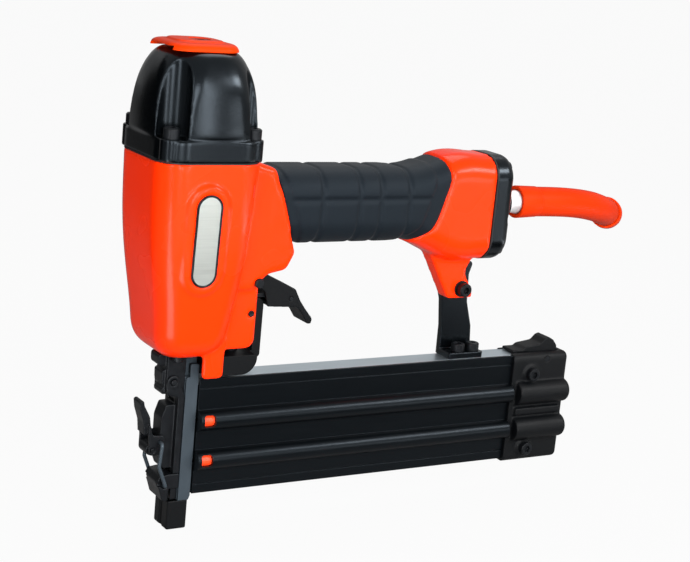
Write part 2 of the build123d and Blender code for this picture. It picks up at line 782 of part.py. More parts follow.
def cylinder_cap():
    face = plan_section(-CAP_HALF_X, CAP_HALF_X, CAP_HALF_Y, CAP_CORNER, CAP_LOW)
    flange = extrude(face, amount=FLANGE_H)
    flange = fillet(flange.edges().group_by(Axis.Z)[-1], CAP_EDGE)
    for x in (-CAP_SCREW_X, CAP_SCREW_X):
        for y in (-CAP_SCREW_Y, CAP_SCREW_Y):
            flange = flange + rod_z(x, y, CAP_BOSS_R, CAP_LOW, LEDGE_Z)
    sections = []
    for share, front_in, rear_in, side_in, rounder in DOME:
        front = front_in - CAP_HALF_X
        rear = CAP_HALF_X - rear_in
        z = LEDGE_Z + DOME_H * share
        sections.append(plan_section(front, rear, CAP_HALF_Y - side_in, CAP_CORNER + rounder, z))
    # the dome's front runs down to the seam, so the flange shows only at its sides and rear
    solid = flange + loft(sections) + extrude(sections[0], amount=CAP_LOW - LEDGE_Z)
    for x, flute in ((-CAP_SCREW_X, FLUTE_R), (CAP_SCREW_X, FLUTE_REAR_R)):
        for y in (-CAP_SCREW_Y, CAP_SCREW_Y):
            solid = solid - rod_z(x, y, flute, LEDGE_Z, CAP_TOP + 10)
            solid = solid - rod_z(x, y, CAP_SCREW_R, CAP_LOW - 1, LEDGE_Z + 1)
    solid = solid - rod_z(0, 0, VALVE_R, CAP_LOW - 1, VALVE_CEILING)
    solid = solid - rod_z(0, 0, DEFLECTOR_SCREW_R, CAP_TOP - DEFLECTOR_SCREW_DEPTH, CAP_TOP + 1)
    for turn in range(4):
        port = rod_z(EXHAUST_PORT_AT, 0, EXHAUST_PORT_R, VALVE_CEILING - 1, CAP_TOP + 1)
        solid = solid - Rot(0, 0, 90 * turn + 45) * port
    return solid


def cap_screws():
    screws = []
    for x in (-CAP_SCREW_X, CAP_SCREW_X):
        for y in (-CAP_SCREW_Y, CAP_SCREW_Y):
            plane = Plane((x, y, LEDGE_Z))
            reach = LEDGE_Z - SEAM_Z + CAP_SCREW_DEPTH
            screws.append(socket_screw(plane, CAP_SCREW_R, reach, CAP_SCREW_HEAD_R, CAP_SCREW_HEAD_H))
    return Compound(screws)


def valve_ring_z():
    return (VALVE_LOW + VALVE_RING_IN, VALVE_TOP - VALVE_RING_IN)


def head_valve_piston():
    solid = rod_z(0, 0, VALVE_R - RUNNING, VALVE_LOW, VALVE_TOP)
    solid = solid + rod_z(0, 0, VALVE_SKIRT_R, SLEEVE_TOP + CLEAR, VALVE_LOW)
    solid = solid - rod_z(0, 0, VALVE_HOLE_R, SLEEVE_TOP, VALVE_TOP + 1)
    for z in valve_ring_z():
        groove = rod_z(0, 0, VALVE_R + 1, z - 1.4, z + 1.4)
        solid = solid - (groove - rod_z(0, 0, VALVE_R - RUNNING - 2 * VALVE_RING_R, VALVE_LOW, VALVE_TOP))
    return solid


def head_valve_o_rings():
    low, high = valve_ring_z()
    middle = VALVE_R - RUNNING - VALVE_RING_R
    return Compound([ring(0, 0, low, middle, VALVE_RING_R), ring(0, 0, high, middle, VALVE_RING_R)])


def head_valve_spring():
    return coil(0, 0, VALVE_SPRING_R, SPRING_WIRE, VALVE_TOP, VALVE_CEILING)


def deflector_low():
    return CAP_TOP + SLIDE_GAP


def deflector_seat():
    return deflector_low() + DEFLECTOR_H - DEFLECTOR_SCREW_HEAD_H - CLEAR


# Share of the deflector's height and how far its pillow-shaped top is drawn in there
DEFLECTOR_CROWN = ((0.0, 0.0), (0.25, 0.15), (0.5, 0.7), (0.75, 2.4), (1.0, 6.4))


def exhaust_deflector():
    low = deflector_low()
    sections = []
    for share, inset in DEFLECTOR_CROWN:
        corner = DEFLECTOR_CORNER - inset * 0.4
        front = DEFLECTOR_FRONT + inset
        rear = DEFLECTOR_REAR - inset
        height = low + DEFLECTOR_H * share
        sections.append(plan_section(front, rear, DEFLECTOR_HALF_W - inset, corner, height))
    solid = loft(sections)
    seat = deflector_seat()
    solid = solid - rod_z(0, 0, DEFLECTOR_SCREW_HEAD_R + CLEAR, seat, low + DEFLECTOR_H + 5)
    solid = solid - rod_z(0, 0, DEFLECTOR_SCREW_R + RUNNING, low - 1, low + DEFLECTOR_H)
    # exhaust room, open to the front under the lip
    wide = EXHAUST_ROOM_HALF
    top = low + EXHAUST_ROOM_H
    room = block(DEFLECTOR_FRONT - 5, DEFLECTOR_REAR - 5, -wide, wide, low - 1, top)
    return solid - (room - rod_z(0, 0, DEFLECTOR_POST_R, low - 2, top + 1))


def deflector_screw():
    seat = deflector_seat()
    reach = seat - CAP_TOP + DEFLECTOR_SCREW_DEPTH
    head_r = DEFLECTOR_SCREW_HEAD_R
    return socket_screw(Plane((0, 0, seat)), DEFLECTOR_SCREW_R, reach, head_r, DEFLECTOR_SCREW_HEAD_H)


# Nose


def driver_guide():
    foot = TIP_HEIGHT + SAFETY_TRAVEL + CLEAR
    solid = block(PARTING_X, GUIDE_REAR, -GUIDE_HALF, GUIDE_HALF, foot, ARM_SHOULDER_Z)
    rear = TIP_REAR - TIP_WALL - SLIDE_GAP
    solid = solid + block(PARTING_X, rear, -GUIDE_HALF, GUIDE_HALF, TIP_HEIGHT, foot)
    solid = solid + block(PARTING_X, GUIDE_REAR, -GUIDE_NECK_HALF, GUIDE_NECK_HALF, ARM_SHOULDER_Z, FLOOR_Z)
    solid = solid + block(LAND_X, PARTING_X, -LAND_HALF, LAND_HALF, TIP_HEIGHT, FLOOR_Z)
    return solid - block(LAND_X - 1, GUIDE_REAR + 1, -FEED_SLOT_HALF, FEED_SLOT_HALF, NAIL_LOW, NAIL_HIGH)


def contact_tip():
    solid = block(TIP_FRONT, TIP_REAR, -NOSE_HALF, NOSE_HALF, 0, TIP_HEIGHT)
    solid = fillet(solid.edges().filter_by(Axis.Z), 1.0)
    solid = fillet(solid.edges().group_by(Axis.Z)[0], 0.8)
    floor = TIP_HEIGHT - SAFETY_TRAVEL - CLEAR
    inner = GUIDE_HALF + SLIDE_GAP
    solid = solid - block(TIP_FRONT + TIP_WALL, TIP_REAR - TIP_WALL, -inner, inner, floor, TIP_HEIGHT + 1)
    solid = solid - blade_shaft(CLEAR, -1, TIP_HEIGHT)
    floor = TIP_FRONT + TIP_GROOVE / 2
    return solid - block(TIP_FRONT - 1, floor, -TIP_GROOVE, TIP_GROOVE, -1, TIP_HEIGHT + 1)


def contact_arm():
    corners = (
        (ARM_FRONT, TIP_HEIGHT, 0), (GUIDE_REAR - 0.2, TIP_HEIGHT, 0), (GUIDE_REAR - 0.2, ARM_TOP, 1),
        (ARM_STRIP_FRONT, ARM_TOP, 1), (ARM_STRIP_FRONT, ARM_SHOULDER_Z, 0),
        (ARM_FRONT, ARM_SHOULDER_Z, 1),
    )
    corners = corners[:1] + ((TIP_REAR, TIP_HEIGHT, 0), (GUIDE_REAR - 0.2, TIP_HEIGHT + 2, 0)) + corners[2:]
    inner = NOSE_HALF - ARM_WALL
    near = side_plate(corners, -NOSE_HALF, -inner)
    return Compound([near, side_plate(corners, inner, NOSE_HALF)])


def safety_yoke():
    corners = (
        (YOKE_FRONT, YOKE_TOP, 1.0), (YOKE_REAR, YOKE_TOP, 1.0), (YOKE_REAR, YOKE_LOW, YOKE_ROUND),
        (YOKE_FRONT, YOKE_LOW, 0),
    )
    solid = side_plate(corners, -YOKE_HALF, YOKE_HALF)
    leg = (
        (LEG_FRONT, LEG_TOP, 0.6), (LEG_REAR - LEG_BEVEL, LEG_TOP, 0.6),
        (LEG_REAR, LEG_TOP - LEG_BEVEL, 0.6),
        (LEG_REAR, YOKE_TOP - 3, 2), (YOKE_REAR - 3, YOKE_TOP - 5, 0),
        (YOKE_REAR - 3, YOKE_TOP, 0), (LEG_FRONT, YOKE_TOP, 0),
    )
    solid = solid + side_plate(leg, -LEG_HALF, LEG_HALF)
    inner = NOSE_HALF - ARM_WALL
    for y0, y1 in ((-inner, -inner + 2), (inner - 2, inner)):
        solid = solid + block(ARM_STRIP_FRONT + 0.4, YOKE_FRONT + 1, y0, y1, YOKE_LOW + 0.3, ARM_TOP - 0.3)
    return solid - rod_z(SAFETY_SPRING_X, 0, SAFETY_SPRING_R + CLEAR, SAFETY_SPRING_LOW, YOKE_TOP + 1)


def safety_spring():
    return coil(SAFETY_SPRING_X, 0, SAFETY_SPRING_R, SPRING_WIRE / 2, SAFETY_SPRING_LOW, SAFETY_SPRING_TOP)


def hinge_block():
    core = (
        (PARTING_X, FLOOR_Z, 0), (PARTING_X, BLOCK_LOW, 0), (DOOR_FRONT, BLOCK_LOW, 0),
        (FLANGE_FRONT, BLOCK_LOW + 1.4, 0.8), (FLANGE_FRONT, FLOOR_Z, 0),
    )
    lobes = (
        (HINGE_X, LOBE_LOW, 0), (LOBE_TIPS[2] + 0.4, LOBE_LOW, 0.8), (LOBE_TIPS[2], LOBE_LOW + 2.4, 0.8),
        (LOBE_NOTCH, 71.0, 0.6), (LOBE_TIPS[1] + 0.4, 72.6, 1.0), (LOBE_TIPS[1], 78.4, 1.0),
        (LOBE_NOTCH, 79.4, 0.5), (LOBE_NOTCH, 81.4, 0.5), (LOBE_TIPS[0] + 0.4, 81.4, 1.4),
        (LOBE_TIPS[0], LOBE_TOP, 1.6), (HINGE_X, LOBE_TOP, 0),
    )
    solid = side_plate(core, -GUIDE_HALF, GUIDE_HALF) + side_plate(lobes, -LOBE_HALF, LOBE_HALF)
    flange_low = FLOOR_Z - FLANGE_T
    solid = solid + block(FLANGE_FRONT, PARTING_X, -FLANGE_HALF, FLANGE_HALF, flange_low, FLOOR_Z)
    # lands, blade and door ears pass through it
    groove = LAND_HALF + CLEAR / 4
    solid = solid - block(-BLADE_T / 2 - CLEAR, PARTING_X + 1, -groove, groove, 60, FLOOR_Z + 1)
    for y in (-NOSE_SCREW_Y, NOSE_SCREW_Y):
        solid = solid - rod_z(NOSE_SCREW_X, y, NOSE_SCREW_R, 60, FLOOR_Z + 1)
    return solid - rod_y(HINGE_X, HINGE_Z, HINGE_PIN_R, -60, 60)


def nose_screws():
    screws = []
    for y in (-NOSE_SCREW_Y, NOSE_SCREW_Y):
        plane = Plane((NOSE_SCREW_X, y, FLOOR_Z - FLANGE_T), x_dir=(1, 0, 0), z_dir=(0, 0, -1))
        reach = FLANGE_T + NOSE_SCREW_DEPTH
        screws.append(socket_screw(plane, NOSE_SCREW_R, reach, NOSE_SCREW_HEAD_R, NOSE_SCREW_HEAD_H))
    return Compound(screws)


def hinge_pin():
    half = NOSE_HALF + HINGE_EAR_WALL / 2
    solid = rod_y(HINGE_X, HINGE_Z, HINGE_PIN_R, -half, half)
    return chamfer(solid.edges(), 0.3)


def nose_door():
    solid = block(DOOR_FRONT, PARTING_X - SLIDE_GAP / 2, -NOSE_HALF, NOSE_HALF, DOOR_LOW, DOOR_HIGH)
    rib = (
        (DOOR_FRONT + 0.5, RIB_LOW, 0), (DOOR_FRONT + 0.5, RIB_HIGH, 0), (RIB_FRONT + 2, RIB_HIGH, 1.5),
        (RIB_FRONT, RIB_HIGH - 6, 3), (RIB_FRONT, RIB_LOW + 5, 2), (RIB_FRONT + 2, RIB_LOW, 1.5),
    )
    solid = solid + side_plate(rib, -RIB_HALF, RIB_HALF)
    # ears that carry the latch lever's pin
    boss = rod_y(PIVOT_X, PIVOT_Z, 3.0, -RIB_HALF + 0.2, RIB_HALF - 0.2)
    boss = boss + block(PIVOT_X, RIB_FRONT + 1, -RIB_HALF + 0.2, RIB_HALF - 0.2, PIVOT_Z - 3, PIVOT_Z + 3)
    solid = solid + boss - rod_y(PIVOT_X, PIVOT_Z, LATCH_PIN_R, -60, 60)
    solid = solid - rod_y(BAIL_X, BAIL_Z, BAIL_R + CLEAR, -60, 60)
    # hinge ears either side of the hinge block
    ear = (
        (DOOR_FRONT, DOOR_HIGH, 0), (DOOR_FRONT, DOOR_HIGH - 5, 0),
        (PARTING_X - SLIDE_GAP / 2, DOOR_HIGH - 5, 0),
        (PARTING_X - SLIDE_GAP / 2, DOOR_HIGH, 0), (HINGE_X + HINGE_EAR_R, HINGE_Z, 0),
        (HINGE_X - HINGE_EAR_R, HINGE_Z, 0),
        (HINGE_X - HINGE_EAR_R, DOOR_HIGH + 2, 2),
    )
    inner = GUIDE_HALF + SLIDE_GAP
    for y0, y1 in ((-NOSE_HALF, -inner), (inner, NOSE_HALF)):
        cheek = side_plate(ear, y0, y1) + rod_y(HINGE_X, HINGE_Z, HINGE_EAR_R, y0, y1)
        solid = solid + cheek
    solid = solid - rod_y(HINGE_X, HINGE_Z, HINGE_PIN_R + RUNNING, -60, 60)
    groove = LAND_HALF + CLEAR
    front = -BLADE_T / 2 - CLEAR / 2
    return solid - block(front, PARTING_X + 1, -groove, groove, DOOR_LOW - 1, DOOR_HIGH + 20)


def bail_room(reach, y0, y1):
    """The curved room that the bail's hooked end passes through while the lever swings over."""
    arm = Vector(BAIL_X - PIVOT_X, BAIL_Z - PIVOT_Z)
    centre = Vector(HOOK_X, HOOK_Z) - arm
    rays = (arm, arm.rotate(Axis.Z, LEVER_SWING / 2), arm.rotate(Axis.Z, LEVER_SWING))
    outer = []
    inner = []
    for ray in rays:
        outer.append(centre + ray * ((arm.length + reach) / arm.length))
        inner.append(centre + ray * ((arm.length - reach) / arm.length))
    edges = [
        ThreePointArc(*outer), Line(outer[2], inner[2]), ThreePointArc(*inner), Line(inner[0], outer[0]),
    ]
    plane = Plane((0, y1, 0), x_dir=(1, 0, 0), z_dir=(0, -1, 0))
    swept = extrude(plane * make_face(edges), amount=y1 - y0)
    return swept + rod_y(HOOK_X, HOOK_Z, reach, y0, y1)


def hook_block():
    band = TIP_HEIGHT + SAFETY_TRAVEL + CLEAR
    top = DOOR_LOW - SLIDE_GAP
    upper = (
        (PARTING_X, band, 0), (PARTING_X, top, 0), (-3.0, top, 0.5), (HOOK_FRONT + 1.6, top - 0.6, 1.2),
        (HOOK_FRONT, top - 3.5, 1.2), (HOOK_FRONT + 1.5, band, 0),
    )
    solid = side_plate(upper, -NOSE_HALF, NOSE_HALF)
    slot_front = TIP_FRONT - SLIDE_GAP
    slot_rear = TIP_FRONT + TIP_WALL + SLIDE_GAP
    tongue = (
        (slot_front, band, 0), (HOOK_FRONT + 1.5, band, 0), (HOOK_FRONT + 3.4, HOOK_LOW, 1.2),
        (slot_front, HOOK_LOW, 0.4),
    )
    solid = solid + side_plate(tongue, -NOSE_HALF, NOSE_HALF)
    solid = solid + block(slot_rear, PARTING_X, -GUIDE_HALF, GUIDE_HALF, TIP_HEIGHT + CLEAR / 2, band)
    # driver channel
    groove = LAND_HALF + CLEAR / 4
    solid = solid - block(-BLADE_T / 2 - CLEAR / 2, PARTING_X + 1, -groove, groove, 0, 60)
    # side notches for the bail's hooked ends
    depth = HOOK_BITE + CLEAR
    for y0, y1 in ((-NOSE_HALF - 1, -NOSE_HALF + depth), (NOSE_HALF - depth, NOSE_HALF + 1)):
        solid = solid - bail_room(BAIL_R + CLEAR, y0, y1)
    return solid


def latch_lever():
    cheek = (
        (PIVOT_X - 2.2, PIVOT_Z - 2.6, 2), (PIVOT_X + 2.2, PIVOT_Z - 2.6, 2),
        (BAIL_X + 2.3, BAIL_Z - 1.6, 1.8), (BAIL_X + 2.3, BAIL_Z + 3.2, 2),
        (PIVOT_X - 0.6, BAIL_Z + 3.6, 1), (FINGER_REAR - 0.8, FINGER_LOW + 5.2, 0.5),
        (FINGER_FRONT + 1.6, FINGER_LOW + 5.2, 0.5), (PIVOT_X - 2.2, BAIL_Z + 1.0, 3),
    )
    solid = side_plate(cheek, -CHEEK_HALF, -CHEEK_HALF + CHEEK_WALL)
    solid = solid + side_plate(cheek, CHEEK_HALF - CHEEK_WALL, CHEEK_HALF)
    finger = (
        (FINGER_FRONT + 0.6, FINGER_LOW, 0), (FINGER_REAR + 0.6, FINGER_LOW, 0),
        (FINGER_REAR, FINGER_LOW + 4.2, 3), (FINGER_REAR - 0.6, FINGER_LOW + 8.6, 6),
        (TIP_X + 2.6, FINGER_TOP - 3.0, 3), (TIP_X + 2.1, FINGER_TOP, 1.0), (TIP_X, FINGER_TOP - 1.2, 0.9),
        (TIP_X + 0.6, FINGER_TOP - 5.4, 5), (FINGER_FRONT, FINGER_LOW + 6.0, 6),
    )
    solid = solid + side_plate(finger, -LEVER_HALF, LEVER_HALF)
    bridge = (
        (FINGER_FRONT + 2.4, FINGER_LOW + 0.4, 0), (FINGER_REAR, FINGER_LOW + 0.4, 0),
        (FINGER_REAR - 1.2, FINGER_LOW + 4.6, 0), (FINGER_FRONT + 2.0, FINGER_LOW + 4.6, 0),
    )
    inner = CHEEK_HALF - CHEEK_WALL / 2
    solid = solid + side_plate(bridge, -inner, inner)
    solid = solid - rod_y(PIVOT_X, PIVOT_Z, LATCH_PIN_R + RUNNING, -60, 60)
    return solid - rod_y(BAIL_X, BAIL_Z, BAIL_R + RUNNING, -60, 60)


def latch_pin():
    half = CHEEK_HALF + 0.4
    return chamfer(rod_y(PIVOT_X, PIVOT_Z, LATCH_PIN_R, -half, half).edges(), 0.2)


def latch_bail():
    hook_end = NOSE_HALF - HOOK_BITE
    knee = (-9.0, -BAIL_HALF, 33.0)
    points = (
        (HOOK_X, -hook_end, HOOK_Z), (HOOK_X, -BAIL_HALF, HOOK_Z), knee, (BAIL_X, -BAIL_HALF, BAIL_Z),
        (BAIL_X, BAIL_HALF, BAIL_Z), (knee[0], BAIL_HALF, knee[2]), (HOOK_X, BAIL_HALF, HOOK_Z),
        (HOOK_X, hook_end, HOOK_Z),
    )
    path = FilletPolyline(*points, radius=1.4)
    plane = Plane(origin=points[0], z_dir=(0, -1, 0))
    return sweep(plane * Circle(BAIL_R), path=path)


# Trigger


TRIGGER_VALVE_RINGS = (133.5, 139.5)


def trigger():
    corners = (
        (27.8, 120.2, 2.5), (28.2, 126.4, 3.0), (36.0, 125.6, 2), (42.5, 123.2, 3),
        (48.5, 120.4, 4), (57.3, 116.0, 2.5),
        (60.2, 110.4, 3), (63.5, 106.0, 5), (67.7, 101.0, 2), (67.2, 98.3, 0.8), (65.2, 98.4, 0.8),
        (62.4, 102.6, 4),
        (59.0, 107.0, 2.5), (42.6, 108.0, 0.8), (40.6, 115.4, 2), (35.4, 118.6, 2),
    )
    solid = side_plate(corners, -TRIGGER_HALF, TRIGGER_HALF)
    inner = TRIGGER_HALF - TRIGGER_WALL
    room = (
        (34.4, 132.0, 0), (34.4, 104.0, 0), (42.2, 104.0, 0), (43.6, 109.8, 0), (56.6, 109.0, 0.5),
        (58.4, 110.4, 0.5),
        (56.2, 114.6, 0.5), (52.0, 132.0, 0),
    )
    solid = solid - side_plate(room, -inner, inner)
    solid = solid - rod_y(TRIGGER_X, TRIGGER_Z, TRIGGER_PIN_R + RUNNING, -60, 60)
    return solid - rod_y(TRIP_X, TRIP_Z, TRIP_PIN_R, -60, 60)


def trigger_pin():
    solid = rod_y(TRIGGER_X, TRIGGER_Z, TRIGGER_PIN_R, -NECK_HALF, NECK_HALF)
    head = rod_y(TRIGGER_X, TRIGGER_Z, TRIGGER_PIN_HEAD_R, -NECK_HALF - TRIGGER_PIN_HEAD_H, -NECK_HALF)
    return solid + chamfer(head.edges().group_by(Axis.Y)[0], 0.4)


def trip_lever():
    corners = (
        (36.6, 112.5, 0.8), (36.8, 114.4, 0.8), (44.0, 114.4, 2), (56.6, 113.2, 1.2),
        (57.0, 110.2, 1.2), (53.6, 110.0, 1.2),
        (48.0, 112.2, 3),
    )
    half = TRIGGER_HALF - TRIGGER_WALL - CLEAR
    solid = side_plate(corners, -half, half)
    return solid - rod_y(TRIP_X, TRIP_Z, TRIP_PIN_R + RUNNING, -60, 60)


def trip_pin():
    half = TRIGGER_HALF + 0.15
    return rod_y(TRIP_X, TRIP_Z, TRIP_PIN_R, -half, half)


VALVE_FLOOR = 3.0


def trigger_valve_body():
    solid = rod_z(STEM_X, 0, TRIGGER_VALVE_R, TRIGGER_VALVE_LOW, TRIGGER_VALVE_TOP)
    low = TRIGGER_VALVE_LOW + VALVE_FLOOR
    solid = solid - rod_z(STEM_X, 0, STEM_COLLAR_R + CLEAR, low, TRIGGER_VALVE_TOP - 1.5)
    return solid - rod_z(STEM_X, 0, STEM_R + RUNNING, TRIGGER_VALVE_LOW - 1, low + 1)


def trigger_valve_o_rings():
    middle = TRIGGER_VALVE_R + TRIGGER_VALVE_RING_R
    low = ring(STEM_X, 0, TRIGGER_VALVE_RINGS[0], middle, TRIGGER_VALVE_RING_R)
    return Compound([low, ring(STEM_X, 0, TRIGGER_VALVE_RINGS[1], middle, TRIGGER_VALVE_RING_R)])


def trigger_valve_stem():
    low = TRIGGER_VALVE_LOW + VALVE_FLOOR
    solid = rod_z(STEM_X, 0, STEM_R, STEM_LOW, STEM_TOP)
    solid = fillet(solid.edges().sort_by(Axis.Z)[0], 0.8)
    return solid + rod_z(STEM_X, 0, STEM_COLLAR_R, low + SLIDE_GAP, low + SLIDE_GAP + STEM_COLLAR_T)


def trigger_valve_spring():
    low = TRIGGER_VALVE_LOW + VALVE_FLOOR + SLIDE_GAP + STEM_COLLAR_T
    return coil(STEM_X, 0, STEM_COLLAR_R - 0.1, SPRING_WIRE / 2, low, TRIGGER_VALVE_TOP - 1.5)


# Magazine


def magazine_rail():
    corners = (
        (RAIL_NEAR, RAIL_TOP, 0.3), (RAIL_NEAR, RAIL_LOW, 0.3), (MAG_FAR - RAIL_WALL, RAIL_LOW, 0),
        (MAG_FAR - RAIL_WALL, SLIDE_LOW, 0.4), (MAG_FAR, SLIDE_LOW, 0.4), (MAG_FAR, RAIL_TOP, 0.6),
    )
    solid = cross_bar(corners, MAG_FRONT, RAIL_REAR)
    for x in BASE_SCREW_X:
        solid = solid - rod_z(x, BASE_SCREW_Y, BASE_SCREW_R, RAIL_LOW - 1, RAIL_TOP + 1)
    return solid


def magazine_slide():
    solid = block(SLIDE_FRONT, SLIDE_REAR, MAG_NEAR, SLIDE_FAR, SLIDE_LOW, SLIDE_TOP)
    for z in TUBE_Z:
        solid = solid + rod_x(TUBE_Y, z, TUBE_R, SLIDE_FRONT, SLIDE_REAR)
    solid = solid + block(SLIDE_FRONT, SLIDE_REAR, MAG_NEAR, MAG_NEAR + LIP_T, SLIDE_TOP - 1, RAIL_TOP)
    # tongue held by the end cap's two screws
    solid = solid + tongue_block(0)
    top = SLIDE_TOP - SLIDE_TOP_T
    floor = SLIDE_LOW + SLIDE_FLOOR_T
    wall = MAG_NEAR + SLIDE_WALL
    solid = solid - block(SLIDE_FRONT - 1, SLIDE_REAR - 4, wall, SLIDE_FAR + 1, floor, top)
    slot_front = SLIDE_FRONT - 1
    slot_rear = PUSHER_FRONT + PUSHER_LENGTH + PUSHER_TRAVEL + 2
    for z in TUBE_Z:
        solid = solid - rod_x(TUBE_Y, z, TUBE_BORE_R, PUSHER_FRONT - CLEAR, SLIDE_REAR + 1)
        half = TUBE_SLOT_HALF
        wall = MAG_NEAR + SLIDE_WALL + 1
        solid = solid - block(slot_front, slot_rear, TUBE_Y, wall, z - half, z + half)
        low = z + WINDOW_RISE - WINDOW_HALF
        high = z + WINDOW_RISE + WINDOW_HALF
        rear = WINDOW_FRONT + WINDOW_LENGTH
        window = (
            (WINDOW_FRONT, low, WINDOW_ROUND), (rear, low, WINDOW_ROUND),
            (rear, high, WINDOW_ROUND), (WINDOW_FRONT, high, WINDOW_ROUND),
        )
        solid = solid - side_plate(window, TUBE_Y - TUBE_R - 1, TUBE_Y)
    for z in LINE_Z:
        half = LINE_W / 2
        floor = MAG_NEAR + LINE_DEPTH
        solid = solid - block(SLIDE_FRONT - 1, SLIDE_REAR + 1, MAG_NEAR - 1, floor, z - half, z + half)
    for x, z in zip(END_SCREW_X, END_SCREW_Z):
        solid = solid - rod_y(x, z, END_SCREW_R, -60, 60)
    return solid


def tongue_block(grow):
    near = MAG_NEAR + 1.0 - grow
    far = MAG_NEAR + SLIDE_WALL + grow
    return block(SLIDE_REAR - 1, TONGUE_REAR + grow, near, far, SLIDE_LOW + 2 - grow, SLIDE_TOP - 2 + grow)


def pusher():
    top = SLIDE_TOP - SLIDE_TOP_T - SLIDE_GAP
    floor = SLIDE_LOW + SLIDE_FLOOR_T + SLIDE_GAP
    near = MAG_NEAR + SLIDE_WALL + SLIDE_GAP
    solid = block(PUSHER_FRONT, PUSHER_FRONT + PUSHER_LENGTH, near, SLIDE_FAR - CLEAR, floor, top)
    for z in TUBE_Z:
        half = TUBE_SLOT_HALF - SLIDE_GAP
        rear = PUSHER_FRONT + FOLLOWER_LENGTH
        solid = solid + block(PUSHER_FRONT, rear, TUBE_Y, near + 1, z - half, z + half)
    return solid


def pusher_followers(blade):
    followers = []
    for z in TUBE_Z:
        body = rod_x(TUBE_Y, z, TUBE_BORE_R - RUNNING, PUSHER_FRONT, PUSHER_FRONT + FOLLOWER_LENGTH)
        followers.append(body - blade)
    return Compound(followers)


def pusher_springs():
    springs = []
    start = PUSHER_FRONT + FOLLOWER_LENGTH
    outer = TUBE_BORE_R - CLEAR
    for z in TUBE_Z:
        core = rod_x(TUBE_Y, z, outer - PUSHER_WIRE, start, SLIDE_REAR)
        springs.append(rod_x(TUBE_Y, z, outer, start, SLIDE_REAR) - core)
    return Compound(springs)


def end_cap_profile(x0, x1):
    corners = (
        (CAP_END_NEAR, CAP_END_LOW, 3), (CAP_END_FAR, CAP_END_LOW, 3),
        (CAP_END_FAR, CAP_END_TOP, 2.5), (CAP_END_NEAR, CAP_END_TOP, 3.5),
    )
    return cross_bar(corners, x0, x1)


def magazine_end_cap():
    solid = end_cap_profile(SLIDE_REAR, CAP_END_REAR)
    rims = solid.faces().sort_by(Axis.X)[-1].edges()
    solid = fillet(rims, 2.2)
    for z in TUBE_Z:
        lobe = rod_x(TUBE_Y - 1.0, z, LOBE_R, LOBE_FRONT, CAP_END_REAR)
        solid = solid + fillet(lobe.edges().sort_by(Axis.X)[-1], 2.0)
    for x, z in zip(END_SCREW_X, END_SCREW_Z):
        boss = rod_y(x, z, END_BOSS_R, END_BOSS_FACE, CAP_END_NEAR + END_BOSS_H)
        solid = solid + chamfer(boss.edges().sort_by(Axis.Y)[0], 0.3)
    middle = sum(TUBE_Z) / 2
    rib = block(LOBE_FRONT, CAP_END_REAR - END_RIB_IN, CAP_END_NEAR - END_RIB_H, CAP_END_NEAR + END_RIB_H,
                middle - END_RIB_HALF, middle + END_RIB_HALF)
    solid = solid + fillet(rib.faces().sort_by(Axis.Y)[0].edges(), 0.8)
    solid = solid - tongue_block(0.1)
    # pocket for the rail's end
    end = RAIL_REAR + CLEAR
    roof = RAIL_TOP + SLIDE_GAP
    rail_far = MAG_FAR + SLIDE_GAP
    solid = solid - block(SLIDE_REAR - 1, end, RAIL_NEAR - SLIDE_GAP, rail_far, RAIL_LOW - SLIDE_GAP, roof)
    solid = solid - block(SLIDE_REAR - 1, end, SLIDE_FAR, rail_far, SLIDE_LOW - SLIDE_GAP, roof)
    slot = ROCKER_HALF + CLEAR
    rear = ROCKER_REAR + 2 * CLEAR
    solid = solid - block(ROCKER_FRONT - 1.2, rear, -slot, slot, ROCKER_FLOOR, CAP_END_TOP + 5)
    solid = solid - block(SLIDE_REAR - 5, ROCKER_FRONT, -slot, slot, RAIL_TOP - 0.8, CAP_END_TOP + 5)
    solid = solid - rod_y(ROCKER_X, ROCKER_Z, ROCKER_PIN_R, -60, ROCKER_HALF + 2.4)
    solid = solid - rod_z(ROCKER_SPRING_X, 0, ROCKER_SPRING_R + CLEAR, ROCKER_FLOOR - 2, ROCKER_Z)
    for x, z in zip(END_SCREW_X, END_SCREW_Z):
        solid = solid - rod_y(x, z, END_SCREW_R, -60, 0)
    return solid


def end_cap_screws():
    screws = []
    for x, z in zip(END_SCREW_X, END_SCREW_Z):
        plane = Plane((x, END_BOSS_FACE, z), x_dir=(1, 0, 0), z_dir=(0, -1, 0))
        reach = MAG_NEAR + SLIDE_WALL - END_BOSS_FACE
        screws.append(socket_screw(plane, END_SCREW_R, reach, END_SCREW_HEAD_R, END_SCREW_HEAD_H))
    return Compound(screws)


